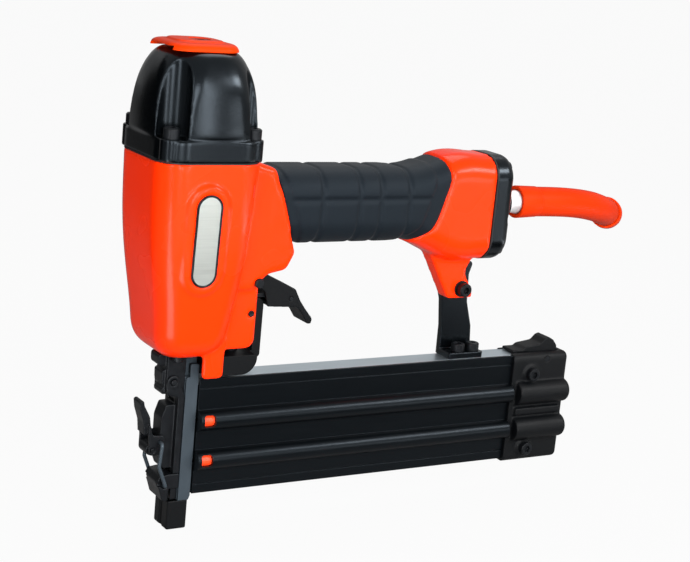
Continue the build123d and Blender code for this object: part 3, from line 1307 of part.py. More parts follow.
def magazine_latch():
    hook_low = RAIL_TOP + CLEAR
    hook_top = hook_low + ROCKER_HOOK_T
    corners = (
        (ROCKER_HOOK_FRONT, hook_low, 0), (ROCKER_FRONT + 2.4, hook_low, 0),
        (ROCKER_FRONT + 2.4, ROCKER_Z + 0.6, 0.6),
        (ROCKER_REAR - 3.0, ROCKER_Z - 0.4, 1.0), (ROCKER_REAR, ROCKER_Z + 3.2, 1.0),
        (ROCKER_REAR - 0.2, ROCKER_Z + 5.8, 1.2),
        (ROCKER_PEAK_X + 3.4, ROCKER_PEAK - 1.8, 1.5), (ROCKER_PEAK_X, ROCKER_PEAK, 1.4),
        (ROCKER_PEAK_X - 2.2, ROCKER_PEAK - 0.8, 1.0), (ROCKER_PEAK_X - 5.0, ROCKER_TOP + 1.2, 3.0),
        (ROCKER_FRONT + 1, ROCKER_TOP, 1.5), (ROCKER_FRONT - 1, hook_top, 0.6),
        (ROCKER_HOOK_FRONT, hook_top, 0.4),
    )
    solid = side_plate(corners, -ROCKER_HALF, ROCKER_HALF)
    solid = solid + rod_y(ROCKER_X, ROCKER_Z, ROCKER_PIN_R + 1.4, -ROCKER_HALF, ROCKER_HALF)
    return solid - rod_y(ROCKER_X, ROCKER_Z, ROCKER_PIN_R + RUNNING, -60, 60)


def magazine_latch_pin():
    return rod_y(ROCKER_X, ROCKER_Z, ROCKER_PIN_R, CAP_END_NEAR + 0.3, ROCKER_HALF + 2.4)


def magazine_latch_spring():
    low = ROCKER_FLOOR - 2
    return coil(ROCKER_SPRING_X, 0, ROCKER_SPRING_R, SPRING_WIRE / 3, low, low + ROCKER_SPRING_L)


# Support bracket


def support_bracket():
    corners = (
        (BRACKET_FRONT + 0.5, RAIL_TOP, 0), (BRACKET_REAR - 1, RAIL_TOP, 0), (171.2, 89.0, 4),
        (167.2, 102.0, 4), (166.4, 117.0, 4),
        (168.6, 124.0, 2), (150.0, 124.0, 3), (147.4, 116.0, 3), (151.2, 104.0, 6), (152.8, 90.0, 6),
    )
    far = BRACKET_NEAR + BRACKET_T
    plate = side_plate(corners, BRACKET_NEAR, far)
    base_top = RAIL_TOP + BRACKET_BASE_T
    base = block(BRACKET_FRONT, BRACKET_REAR, RAIL_NEAR + CLEAR, far, RAIL_TOP, base_top)
    base = fillet(base.edges().filter_by(Axis.Z), 1.5)
    solid = plate + base
    solid = solid - rod_y(BOLT_X, BOLT_Z, BOLT_R, -60, 60)
    for x in BASE_SCREW_X:
        solid = solid - rod_z(x, BASE_SCREW_Y, BASE_SCREW_R, RAIL_TOP - 1, RAIL_TOP + 20)
    return solid


def bracket_bolt():
    plane = Plane((BOLT_X, -LUG_HALF - WASHER_T, BOLT_Z), x_dir=(1, 0, 0), z_dir=(0, -1, 0))
    reach = WASHER_T + 2 * LUG_HALF + BRACKET_T + NUT_T + 1
    return socket_screw(plane, BOLT_R, reach, BOLT_HEAD_R, BOLT_HEAD_H)


def bracket_washer():
    solid = rod_y(BOLT_X, BOLT_Z, WASHER_R, -LUG_HALF - WASHER_T, -LUG_HALF)
    return solid - rod_y(BOLT_X, BOLT_Z, BOLT_R, -60, 60)


def bracket_nut():
    plane = Plane((BOLT_X, BRACKET_NEAR + BRACKET_T, BOLT_Z), x_dir=(1, 0, 0), z_dir=(0, 1, 0))
    return hex_bar(plane, NUT_FLATS, NUT_T) - rod_y(BOLT_X, BOLT_Z, BOLT_R, -60, 60)


def bracket_screws():
    screws = []
    for x in BASE_SCREW_X:
        plane = Plane((x, BASE_SCREW_Y, RAIL_TOP + BRACKET_BASE_T))
        reach = BRACKET_BASE_T + RAIL_T
        screws.append(socket_screw(plane, BASE_SCREW_R, reach, BASE_SCREW_HEAD_R, BASE_SCREW_HEAD_H))
    return Compound(screws)


# Rear end cap, air plug and hose


def rear_face(x):
    return handle_section(x, REAR_LOW, REAR_TOP, GRIP_HALF_W, REAR_CORNER)


def rear_screw_places():
    places = []
    for y in (-REAR_SCREW_Y, REAR_SCREW_Y):
        for z in (REAR_Z - REAR_SCREW_RISE, REAR_Z + REAR_SCREW_RISE):
            places.append((y, z))
    return places


def rear_gasket():
    solid = extrude(rear_face(REAR_X), amount=REAR_GASKET_T)
    solid = solid - air_room(REAR_X - 1, END_FACE + 1)
    for y, z in rear_screw_places():
        solid = solid - rod_x(y, z, REAR_SCREW_R, REAR_X - 1, END_FACE + 1)
    return solid


def rear_end_cap():
    solid = extrude(rear_face(END_FACE), amount=END_X - END_FACE)
    solid = fillet(solid.faces().sort_by(Axis.X)[-1].edges(), END_ROUND)
    solid = solid - rod_y(END_X + 1.8, NOTCH_Z, NOTCH_R, -60, 60)
    solid = solid + rod_x(0, AIR_Z, BOSS_R, END_FACE + 2, BOSS_X)
    solid = solid - rod_x(0, AIR_Z, PLUG_R, END_FACE - 1, BOSS_X + 1)
    seat = END_X - END_ROUND + 1
    for y, z in rear_screw_places():
        solid = solid - rod_x(y, z, REAR_SCREW_R, END_FACE - 1, END_X)
        solid = solid - rod_x(y, z, REAR_SCREW_HEAD_R + 0.3, seat, END_X + 5)
    return solid


def rear_screws():
    seat = END_X - END_ROUND + 1
    screws = []
    for y, z in rear_screw_places():
        plane = Plane((seat, y, z), x_dir=(0, 1, 0), z_dir=(1, 0, 0))
        reach = seat - REAR_X + REAR_SCREW_REACH
        screws.append(socket_screw(plane, REAR_SCREW_R, reach, REAR_SCREW_HEAD_R, REAR_SCREW_HEAD_H))
    return Compound(screws)


def hose_start():
    return BOSS_X + PLUG_HEX_L + 1.0


def air_plug():
    plane = Plane((BOSS_X, 0, AIR_Z), x_dir=(0, 1, 0), z_dir=(1, 0, 0))
    solid = hex_bar(plane, PLUG_FLATS, PLUG_HEX_L)
    solid = solid + rod_x(0, AIR_Z, PLUG_R, END_FACE + 1, BOSS_X)
    solid = solid + rod_x(0, AIR_Z, BARB_R, BOSS_X + PLUG_HEX_L, hose_start() + BARB_L)
    return solid - rod_x(0, AIR_Z, PLUG_BORE_R, END_FACE, hose_start() + BARB_L + 1)


def hose_points():
    points = [Vector(hose_start(), 0, AIR_Z)]
    for run in HOSE_RUNS:
        points.append(points[-1] + Vector(*run))
    return points


def hose():
    points = hose_points()
    radii = []
    for index in range(1, len(points) - 1):
        back = points[index] - points[index - 1]
        ahead = points[index + 1] - points[index]
        half_turn = math.radians(back.get_angle(ahead)) / 2
        radii.append(HOSE_BEND * min(back.length, ahead.length) / math.tan(half_turn))
    print("hose bend radii", [round(radius, 1) for radius in radii])
    path = FilletPolyline(*points, radius=radii)
    plane = Plane(origin=points[0], x_dir=(0, 1, 0), z_dir=(1, 0, 0))
    tube = sweep(plane * (Circle(HOSE_R) - Circle(BARB_R)), path=path)
    print("hose length", round(path.length, 1))
    return tube


def hose_end_plane(back):
    points = hose_points()
    along = (points[-1] - points[-2]).normalized()
    return Plane(origin=points[-1] - along * back, x_dir=(0, 0, 1), z_dir=along)


def hose_ferrule():
    outer = HOSE_R + FERRULE_WALL
    straight = FERRULE_L * 0.5
    plane = hose_end_plane(straight)
    length = straight + FERRULE_OVER
    solid = extrude(plane * Circle(outer), amount=length) - extrude(plane * Circle(HOSE_R), amount=straight)
    return solid - extrude(plane * Circle(BARB_R), amount=length + 1)


def hose_nipple():
    plane = hose_end_plane(-FERRULE_OVER)
    solid = hex_bar(plane, NIPPLE_HEX, NIPPLE_HEX_L)
    solid = solid + extrude(plane * Circle(NIPPLE_R), amount=NIPPLE_HEX_L + NIPPLE_L)
    inner = hose_end_plane(BARB_L)
    solid = solid + extrude(inner * Circle(BARB_R), amount=BARB_L + FERRULE_OVER)
    through = BARB_L + FERRULE_OVER + NIPPLE_HEX_L + NIPPLE_L
    return solid - extrude(inner * Circle(PLUG_BORE_R), amount=through + 1)


def main():
    os.makedirs("parts", exist_ok=True)
    parts = {}
    parts["housing"] = housing()
    parts["badge_plate"] = badge_plate()
    parts["grip_sleeve"] = grip_sleeve()
    parts["cylinder_sleeve"] = cylinder_sleeve()
    parts["cylinder_o_rings"] = cylinder_o_rings()
    parts["bumper"] = bumper()
    parts["driver_piston"] = driver_piston()
    parts["piston_o_ring"] = piston_o_ring()
    parts["driver_blade"] = driver_blade()
    parts["cap_gasket"] = cap_gasket()
    parts["cylinder_cap"] = cylinder_cap()
    parts["cap_screws"] = cap_screws()
    parts["head_valve_piston"] = head_valve_piston()
    parts["head_valve_o_rings"] = head_valve_o_rings()
    parts["head_valve_spring"] = head_valve_spring()
    parts["exhaust_deflector"] = exhaust_deflector()
    parts["deflector_screw"] = deflector_screw()
    parts["driver_guide"] = driver_guide()
    parts["contact_tip"] = contact_tip()
    parts["contact_arm"] = contact_arm()
    parts["safety_yoke"] = safety_yoke()
    parts["safety_spring"] = safety_spring()
    parts["hinge_block"] = hinge_block()
    parts["nose_screws"] = nose_screws()
    parts["hinge_pin"] = hinge_pin()
    parts["nose_door"] = nose_door()
    parts["hook_block"] = hook_block()
    parts["latch_lever"] = latch_lever()
    parts["latch_pin"] = latch_pin()
    parts["latch_bail"] = latch_bail()
    parts["trigger"] = trigger()
    parts["trigger_pin"] = trigger_pin()
    parts["trip_lever"] = trip_lever()
    parts["trip_pin"] = trip_pin()
    parts["trigger_valve_body"] = trigger_valve_body()
    parts["trigger_valve_o_rings"] = trigger_valve_o_rings()
    parts["trigger_valve_stem"] = trigger_valve_stem()
    parts["trigger_valve_spring"] = trigger_valve_spring()
    parts["magazine_rail"] = magazine_rail()
    parts["magazine_slide"] = magazine_slide()
    parts["pusher"] = pusher()
    parts["pusher_followers"] = pusher_followers(parts["pusher"])
    parts["pusher_springs"] = pusher_springs()
    parts["magazine_end_cap"] = magazine_end_cap()
    parts["end_cap_screws"] = end_cap_screws()
    parts["magazine_latch"] = magazine_latch()
    parts["magazine_latch_pin"] = magazine_latch_pin()
    parts["magazine_latch_spring"] = magazine_latch_spring()
    parts["support_bracket"] = support_bracket()
    parts["bracket_bolt"] = bracket_bolt()
    parts["bracket_washer"] = bracket_washer()
    parts["bracket_nut"] = bracket_nut()
    parts["bracket_screws"] = bracket_screws()
    parts["rear_gasket"] = rear_gasket()
    parts["rear_end_cap"] = rear_end_cap()
    parts["rear_screws"] = rear_screws()
    parts["air_plug"] = air_plug()
    parts["hose"] = hose()
    parts["hose_ferrule"] = hose_ferrule()
    parts["hose_nipple"] = hose_nipple()
    for name, solid in parts.items():
        export_step(solid, os.path.join("parts", name + ".step"))
    print(len(parts), "parts")


main()
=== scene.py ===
# %% [markdown]
# # Dressing a pneumatic brad nailer
# The imported CAD model already has every piece of the nailer at its true size and place. In this
# lesson we place the camera, replace the hose and the rubber grip by softer shapes, roll over the
# edges of the castings and mouldings, copy the springs, add trim that is too fine for CAD, and give
# every piece the material that the real one is made of. A small studio goes round it at the end.
# Everything is in metres, and each finished piece keeps its place in its mesh.

# %% Load the frame
import json
import math

import bpy
from mathutils import Matrix, Vector


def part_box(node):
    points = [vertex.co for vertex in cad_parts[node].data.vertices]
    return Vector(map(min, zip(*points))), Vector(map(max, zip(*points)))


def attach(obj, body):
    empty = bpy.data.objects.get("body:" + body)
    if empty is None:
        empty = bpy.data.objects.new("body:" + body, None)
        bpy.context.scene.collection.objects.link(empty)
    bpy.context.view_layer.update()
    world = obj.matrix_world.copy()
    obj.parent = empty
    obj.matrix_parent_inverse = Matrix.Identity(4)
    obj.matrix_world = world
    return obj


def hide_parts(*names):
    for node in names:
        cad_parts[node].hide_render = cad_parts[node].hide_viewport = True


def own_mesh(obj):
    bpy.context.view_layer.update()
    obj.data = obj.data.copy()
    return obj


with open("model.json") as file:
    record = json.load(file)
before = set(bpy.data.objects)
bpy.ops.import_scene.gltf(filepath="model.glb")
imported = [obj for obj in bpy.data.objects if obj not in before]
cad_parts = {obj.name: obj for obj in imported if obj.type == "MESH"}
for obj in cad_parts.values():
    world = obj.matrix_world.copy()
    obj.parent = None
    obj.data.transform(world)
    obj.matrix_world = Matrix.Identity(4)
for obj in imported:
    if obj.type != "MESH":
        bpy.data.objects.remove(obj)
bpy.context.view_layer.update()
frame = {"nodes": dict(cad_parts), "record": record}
nodes = frame["nodes"]

# %% [markdown]
# ## The camera
# A product photograph is taken from a few steps away with a long lens, so that the tool looks
# upright and does not bulge towards us. We could aim a camera with a Track To constraint, but here
# the three axes of the view are known from fitting the CAD edges to the picture, so we put them
# straight into the camera's matrix. Its columns are the view's right, its up, and its back.

# %% Place the camera
CAMERA_PLACE = (-0.3161, -0.6529, 0.2950)
bpy.ops.object.select_all(action="DESELECT")
bpy.ops.object.camera_add(location=CAMERA_PLACE)
camera = bpy.context.object
camera.name = "studio_camera"
view_right = Vector((0.85747, -0.50589, 0.09396))
view_up = Vector((0.03625, 0.24155, 0.96971))
view_back = Vector((-0.51326, -0.82809, 0.22546))
view_turn = Matrix((view_right, view_up, view_back)).transposed()
camera.matrix_world = Matrix.Translation(CAMERA_PLACE) @ view_turn.to_4x4()
camera.data.sensor_width = 36.0
camera.data.lens = 83.48
bpy.context.scene.camera = camera
print("camera: lens", camera.data.lens, "mm")

# %% [markdown]
# ## The air hose
# A short whip hose leaves the air plug behind the handle and ends in a crimped ferrule and a
# threaded nipple. It is stiff, thick rubber hose, so it runs straight out and then droops in one
# easy bend. A hose is best drawn as a curve: a NURBS path whose few control points are the corners
# of its route, with a round bevel for its thickness. The path keeps the bend smooth by itself. The
# bevel is one metre deep and each point's radius scales it, so Blender measures the hose's true box.

# %% Draw the hose
HOSE_ROUTE = (
    (0.1890, 0.0, 0.1560),
    (0.2130, 0.0, 0.1560),
    (0.2410, 0.0070, 0.1525),
    (0.2660, 0.0220, 0.1459),
    (0.2865, 0.0425, 0.1395),
)
HOSE_DIAMETER = 0.0156
bpy.ops.object.select_all(action="DESELECT")
bpy.ops.curve.primitive_nurbs_path_add(location=(0.0, 0.0, 0.0))
hose = bpy.context.object
hose.name = "air_hose"
hose_line = hose.data.splines[0]
for point, place in zip(hose_line.points, HOSE_ROUTE):
    point.co = (place[0], place[1], place[2], 1.0)
    point.radius = HOSE_DIAMETER / 2
hose_line.order_u = 3
hose_line.use_endpoint_u = True
hose_line.resolution_u = 24
hose.data.bevel_depth = 1.0
hose.data.bevel_resolution = 10
hose.data.use_fill_caps = True
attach(hose, "tool")
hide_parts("hose")
print("hose:", len(hose_line.points), "points")

# %% [markdown]
# ## The plug and the hose's cuff
# Between the handle and the hose sits a turned steel plug: a collar against the end cap, a waist for
# the fingers, and a shoulder that goes into the hose. The hose ends there in a flared cuff, an open
# cup that the plug stands in. Both are round about the X axis, so each starts from a cylinder. The
# plug's end face is drawn out step by step, each step to a new radius, as a lathe would cut it. The
# cuff's front face is inset and pushed inwards to open the cup, and a bevel rolls its rims. Each
# plug step is how far the face is drawn out and the radius that it then has.

# %% Turn the plug and open the cuff
HOSE_HEIGHT = HOSE_ROUTE[0][2]
TOWARDS_HOSE = Vector((1.0, 0.0, 0.0))
ROUND_EDGE = math.radians(35)


def add_rod_along_x(name, start, end, radius):
    """A round bar along X on the hose's line, ready to be shaped in edit mode."""
    bpy.ops.object.select_all(action="DESELECT")
    bpy.ops.mesh.primitive_cylinder_add(
        vertices=48, radius=radius, depth=end - start,
        location=((start + end) / 2, 0.0, HOSE_HEIGHT), rotation=(0.0, math.radians(90), 0.0),
    )
    bpy.ops.object.transform_apply(location=True, rotation=True, scale=True)
    bpy.context.object.name = name
    return bpy.context.object


def pick_faces(piece, direction):
    """Go to edit mode with only the faces selected that look along a direction."""
    bpy.ops.object.mode_set(mode="EDIT")
    bpy.ops.mesh.select_mode(type="FACE")
    bpy.ops.mesh.select_all(action="DESELECT")
    bpy.ops.object.mode_set(mode="OBJECT")
    for face in piece.data.polygons:
        face.select = face.normal.dot(direction) > 0.9
    bpy.ops.object.mode_set(mode="EDIT")


def apply_modifier(piece, kind, **settings):
    """Put one modifier on a piece and apply it."""
    bpy.context.view_layer.objects.active = piece
    modifier = piece.modifiers.new(kind.title(), kind)
    for option, value in settings.items():
        setattr(modifier, option, value)
    bpy.ops.object.modifier_apply(modifier=modifier.name)


def round_rims(piece, width, segments):
    """Bevel the sharp rims of a turned piece and shade its round sides smooth."""
    apply_modifier(
        piece, "BEVEL", width=width, segments=segments, limit_method="ANGLE", angle_limit=ROUND_EDGE,
    )
    bpy.ops.object.shade_smooth_by_angle(angle=ROUND_EDGE)


PLUG_START, PLUG_END = 0.1640, 0.1780
PLUG_STEPS = (
    (0.0004, 0.0068), (0.0020, 0.0068), (0.0006, 0.0056), (0.0046, 0.0056),
    (0.0008, 0.0061), (0.0014, 0.0061), (0.0004, 0.0050), (0.0060, 0.0050),
)
plug_radius = 0.0063
turned_plug = add_rod_along_x("turned_air_plug", PLUG_START, PLUG_END, plug_radius)
pick_faces(turned_plug, TOWARDS_HOSE)
for reach, radius in PLUG_STEPS:
    bpy.ops.mesh.extrude_region_move(TRANSFORM_OT_translate={"value": (reach, 0.0, 0.0)})
    wider = radius / plug_radius
    bpy.ops.transform.resize(value=(1.0, wider, wider), center_override=(0.0, 0.0, HOSE_HEIGHT))
    plug_radius = radius
bpy.ops.object.mode_set(mode="OBJECT")
round_rims(turned_plug, 0.0003, 2)
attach(turned_plug, "tool")
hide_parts("air_plug")

CUFF_START, CUFF_END, CUFF_RADIUS = 0.1868, 0.2000, 0.0085
CUFF_WALL, CUFF_DEPTH, CUFF_TAPER = 0.0020, 0.0021, 0.94
hose_cuff = add_rod_along_x("hose_cuff", CUFF_START, CUFF_END, CUFF_RADIUS)
pick_faces(hose_cuff, -TOWARDS_HOSE)
bpy.ops.mesh.inset(thickness=CUFF_WALL)
bpy.ops.mesh.extrude_region_move(TRANSFORM_OT_translate={"value": (CUFF_DEPTH, 0.0, 0.0)})
bpy.ops.object.mode_set(mode="OBJECT")
pick_faces(hose_cuff, TOWARDS_HOSE)
bpy.ops.transform.resize(
    value=(1.0, CUFF_TAPER, CUFF_TAPER), center_override=(0.0, 0.0, HOSE_HEIGHT),
)
bpy.ops.object.mode_set(mode="OBJECT")
round_rims(hose_cuff, 0.0006, 3)
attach(hose_cuff, "tool")
print("plug:", len(turned_plug.data.polygons), "faces, cuff:", len(hose_cuff.data.polygons), "faces")

# %% [markdown]
# ## The rubber grip
# The grip is a soft rubber sleeve moulded over the handle, with raised pads between shallow
# channels. CAD leaves the pads' edges sharp, but a rubber moulding has none: every edge rolls over.
# We could bevel the edges by hand, yet they meet in curved slivers that a bevel breaks on. So we
# take a copy of the CAD sleeve, weld its triangles, rebuild it as an even skin with Remesh, and let
# Smooth roll all its edges at once, as the rubber does when it comes out of the mould.

# %% Soften the grip
GRIP_MESH, GRIP_ROUNDS = 0.00055, 12
MERGE_WITHIN = 0.00002


def copy_of_node(node, name):
    """A copy of a CAD node as a piece of its own, with its loose triangles merged."""
    bpy.ops.object.select_all(action="DESELECT")
    piece = bpy.data.objects.new(name, nodes[node].data.copy())
    bpy.context.collection.objects.link(piece)
    bpy.context.view_layer.objects.active = piece
    piece.select_set(True)
    bpy.ops.object.mode_set(mode="EDIT")
    bpy.ops.mesh.select_all(action="SELECT")
    bpy.ops.mesh.remove_doubles(threshold=MERGE_WITHIN)
    bpy.ops.object.mode_set(mode="OBJECT")
    return piece


SLOTS = {row["node"]: row["material_slot"] for row in frame["record"]["subparts"]}
BODIES = {}
for body, members in frame["record"]["behaviour"]["bodies"].items():
    for node in members:
        BODIES[node] = body


def roll_edges(piece, node, rounds, group=""):
    """Smooth an even skin so its edges roll over, and let it stand for the CAD node it came from."""
    apply_modifier(piece, "SMOOTH", factor=0.5, iterations=rounds, vertex_group=group)
    bpy.ops.object.shade_smooth()
    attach(piece, BODIES[node])
    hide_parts(node)


grip = copy_of_node("grip_sleeve", "rubber_grip")
apply_modifier(grip, "REMESH", mode="VOXEL", voxel_size=GRIP_MESH)
roll_edges(grip, "grip_sleeve", GRIP_ROUNDS)
print("grip:", len(grip.data.polygons), "faces")

# %% [markdown]
# ## Castings and mouldings
# Die-cast and moulded pieces have no sharp edges either, because molten metal and plastic don't fill
# a sharp corner and the mould must let go. The latch lever, the nose castings, the trigger and the
# magazine's end pieces get the same treatment as the grip, with a finer skin and fewer rounds of
# Smooth, since their edges are tighter. Each row gives the CAD node, the new piece, the size of its
# mesh in metres and the rounds of Smooth.

# %% Roll the edges of the small castings and mouldings
SKINS = (
    ("latch_lever", "lever_casting", 0.00022, 12),
    ("hook_block", "hook_casting", 0.00028, 6),
    ("hinge_block", "hinge_casting", 0.00030, 5),
    ("nose_door", "door_casting", 0.00030, 6),
    ("contact_tip", "tip_moulding", 0.00028, 5),
    ("trigger", "trigger_moulding", 0.00028, 10),
    ("magazine_latch", "rocker_moulding", 0.00028, 7),
    ("magazine_end_cap", "end_moulding", 0.00050, 4),
    ("exhaust_deflector", "deflector_moulding", 0.00030, 6),
)
castings = {}
for node, name, mesh_size, rounds in SKINS:
    piece = copy_of_node(node, name)
    apply_modifier(piece, "REMESH", mode="VOXEL", voxel_size=mesh_size)
    roll_edges(piece, node, rounds)
    castings[node] = piece
    print(name, "has", len(piece.data.polygons), "faces")

# %% [markdown]
# ## The housing
# The orange housing is the largest casting. Its edges roll like the others, but the slot in its web
# must stay open, because the safety yoke slides up inside it. So one vertex group takes in the slot,
# whose skin is set back a little to leave room, and another takes in the rest, which is smoothed.

# %% Roll the edges of the housing
HOUSING_MESH, HOUSING_ROUNDS = 0.0009, 7
SLOT_END, SLOT_TOP, SLOT_HALF, SLOT_ROOM = 0.0450, 0.1250, 0.0135, 0.0004
housing = copy_of_node("housing", "housing_casting")
apply_modifier(housing, "REMESH", mode="VOXEL", voxel_size=HOUSING_MESH)
inside = housing.vertex_groups.new(name="slot")
outside = housing.vertex_groups.new(name="outside")
for vertex in housing.data.vertices:
    place = vertex.co
    in_slot = 0.0 < place.x < SLOT_END and place.z < SLOT_TOP and abs(place.y) < SLOT_HALF
    group = inside if in_slot else outside
    group.add([vertex.index], 1.0, "REPLACE")
apply_modifier(
    housing, "DISPLACE", direction="NORMAL", mid_level=0.0, strength=-SLOT_ROOM,
    vertex_group=inside.name,
)
roll_edges(housing, "housing", HOUSING_ROUNDS, outside.name)
housing.vertex_groups.clear()
castings["housing"] = housing
print("housing:", len(housing.data.polygons), "faces")

# %% [markdown]
# ## The cylinder cap
# The cap is the largest black casting, and the light draws its shape: a soft streak runs down each
# side, because the panels between the screw flutes are crowned, not flat, and thin bright lines
# follow the flutes' rims. We make the even skin as before and swell each panel with Displace, whose
# vertex group says how far each point goes and fades to nothing at the flutes, the flange and the
# top. Only then do we smooth it. Each panel is written as the number of the axis that it faces, 0
# for X and 1 for Y, and the side that it is on.

# %% Swell and smooth the cap
CAP_MESH, CAP_ROUNDS = 0.0005, 5
PANEL_LOW, PANEL_HIGH = 0.1890, 0.2265
FOOT_FADE, HEAD_FADE = 0.0030, 0.0160
PANEL_HALF, PANEL_FACE, PANEL_SWELL = 0.0150, 0.0195, 0.0013
PANELS = ((1, -1), (1, 1), (0, -1), (0, 1))


def ease(value, start, end):
    """0 at start and 1 at end, with a soft run between them."""
    share = min(max((value - start) / (end - start), 0.0), 1.0)
    return share * share * (3.0 - 2.0 * share)


cap = copy_of_node("cylinder_cap", "cap_casting")
apply_modifier(cap, "REMESH", mode="VOXEL", voxel_size=CAP_MESH)
for out, side in PANELS:
    along = 1 - out
    panel = cap.vertex_groups.new(name="panel")
    for vertex in cap.data.vertices:
        place = vertex.co
        if place[out] * side < PANEL_FACE or abs(place[along]) > PANEL_HALF:
            continue
        foot = ease(place.z, PANEL_LOW, PANEL_LOW + FOOT_FADE)
        head = ease(place.z, PANEL_HIGH, PANEL_HIGH - HEAD_FADE)
        crown = 1.0 - (place[along] / PANEL_HALF) ** 2
        panel.add([vertex.index], crown * foot * head, "REPLACE")
    apply_modifier(
        cap, "DISPLACE", direction="XY"[out], mid_level=0.0, strength=PANEL_SWELL * side,
        vertex_group=panel.name,
    )
    cap.vertex_groups.clear()
roll_edges(cap, "cylinder_cap", CAP_ROUNDS)
castings["cylinder_cap"] = cap
print("cap:", len(cap.data.polygons), "faces")

# %% [markdown]
# ## Springs
# Four coil springs sit where a part pushes on them. Each is a copy of the CAD coil, welded and
# shaded smooth, which takes the CAD coil's place on its body. Each row gives the spring, its joint,
# the number of the axis that it lies along, the place of its fixed end on that axis, and the joint's
# travel.

# %% Copy the springs
SPRINGS = (
    ("head_valve_spring", "head_valve_lift", 2, 0.2160, 0.0040),
    ("safety_spring", "contact_press", 2, 0.1040, 0.0060),
    ("trigger_valve_spring", "stem_lift", 2, 0.1455, 0.0017),
    ("pusher_springs", "pusher_slide", 0, 0.1920, 0.1200),
)
springs = {}
for node, joint, way, fixed_end, travel in SPRINGS:
    low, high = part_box(node)
    axis = Vector((0.0, 0.0, 0.0))
    axis[way] = 1.0
    anchor = (low + high) / 2
    anchor[way] = fixed_end
    spring = copy_of_node(node, node + "_coil")
    bpy.ops.object.shade_smooth_by_angle(angle=ROUND_EDGE)
    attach(spring, BODIES[node])
    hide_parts(node)
    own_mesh(spring)
    springs[node] = spring
print("springs:", len(springs))

# %% [markdown]
# ## Rim of the badge
# The bare badge plate is set in a thin black rim. A rim of even thickness is easiest as a loop with
# a round bevel: we add a circle of points, pull its upper half up and its lower half down so that it
# follows the plate's long outline, turn it to a curve, give that its thickness, and turn it back to a
# mesh. The number of points is even but not a multiple of four, so none lies on the dividing line.

# %% Bend the badge rim
BADGE_LEAN = math.radians(2.6)
RIM_WIRE, RIM_OVERLAP, RIM_POINTS = 0.00055, 0.6, 46
badge_low, badge_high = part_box("badge_plate")
badge_half = (badge_high.x - badge_low.x) / 2
badge_straight = (badge_high.z - badge_low.z) / 2 - badge_half
bpy.ops.object.select_all(action="DESELECT")
bpy.ops.mesh.primitive_circle_add(
    vertices=RIM_POINTS, radius=badge_half - RIM_WIRE * RIM_OVERLAP,
    location=(0.0, 0.0, 0.0), rotation=(math.radians(90), 0.0, 0.0),
)
badge_rim = bpy.context.object
badge_rim.name = "badge_rim"
bpy.ops.object.transform_apply(location=True, rotation=True, scale=True)
for side in (1, -1):
    bpy.ops.object.mode_set(mode="EDIT")
    bpy.ops.mesh.select_mode(type="VERT")
    bpy.ops.mesh.select_all(action="DESELECT")
    bpy.ops.object.mode_set(mode="OBJECT")
    for vertex in badge_rim.data.vertices:
        vertex.select = vertex.co.z * side > 0.0
    bpy.ops.object.mode_set(mode="EDIT")
    bpy.ops.transform.translate(value=(0.0, 0.0, badge_straight * side))
    bpy.ops.object.mode_set(mode="OBJECT")
bpy.ops.object.convert(target="CURVE")
badge_rim.data.bevel_depth = RIM_WIRE
badge_rim.data.bevel_resolution = 3
bpy.ops.object.convert(target="MESH")
badge_face = badge_low.y + (badge_high.z - badge_low.z) / 2 * math.sin(BADGE_LEAN)
badge_middle = (badge_low + badge_high) / 2
badge_rim.rotation_euler = (BADGE_LEAN, 0.0, 0.0)
badge_rim.location = (badge_middle.x, badge_face, badge_middle.z)
bpy.ops.object.transform_apply(location=True, rotation=True, scale=True)
bpy.ops.object.shade_smooth()
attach(badge_rim, "tool")
print("badge rim:", len(badge_rim.data.polygons), "faces")

# %% [markdown]
# ## Roll pin in the web
# A hole in the web below the trigger takes a rolled spring pin. Its end stands just proud of the
# paint and shows as a dark ring. The web's face is found by looking along +Y with a ray that passes
# beside the hole. The pin is a short cylinder whose end is inset and pushed in, with a bevelled rim.

# %% Set the roll pin
PIN_X, PIN_Z, PIN_RADIUS, PIN_LENGTH = 0.0298, 0.1074, 0.00150, 0.0060
PIN_PROUD, PIN_WALL, PIN_HOLLOW = 0.0003, 0.0004, 0.0002
PIN_ASIDE, RAY_START = 0.0045, -0.06
INTO_WEB = Vector((0.0, 1.0, 0.0))
found, web_spot = housing.ray_cast(Vector((PIN_X - PIN_ASIDE, RAY_START, PIN_Z)), INTO_WEB)[:2]
pin_front = web_spot.y - PIN_PROUD
bpy.ops.object.select_all(action="DESELECT")
bpy.ops.mesh.primitive_cylinder_add(
    vertices=28, radius=PIN_RADIUS, depth=PIN_LENGTH,
    location=(PIN_X, pin_front + PIN_LENGTH / 2, PIN_Z), rotation=(math.radians(90), 0.0, 0.0),
)
roll_pin = bpy.context.object
roll_pin.name = "web_roll_pin"
bpy.ops.object.transform_apply(location=True, rotation=True, scale=True)
pick_faces(roll_pin, -INTO_WEB)
bpy.ops.mesh.inset(thickness=PIN_WALL)
bpy.ops.mesh.extrude_region_move(TRANSFORM_OT_translate={"value": (0.0, PIN_HOLLOW, 0.0)})
bpy.ops.object.mode_set(mode="OBJECT")
round_rims(roll_pin, 0.00012, 2)
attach(roll_pin, "tool")
print("roll pin at", [round(value, 4) for value in web_spot], found)

# %% [markdown]
# ## How the materials are written
# Every finish starts from a Principled shader. One function turns a written sRGB colour to the
# linear one that sockets take, one adds a node with its settings and links, and one starts a
# material and hands back its shader and its Object coordinates. Pattern sizes are given in
# millimetres, so per_mm turns a grain size to the scale of a texture that counts in metres. A pixel
# is about half a millimetre here, so a grain that is finer than that on the real tool is drawn
# coarser, at half a millimetre to one, where it still shows.

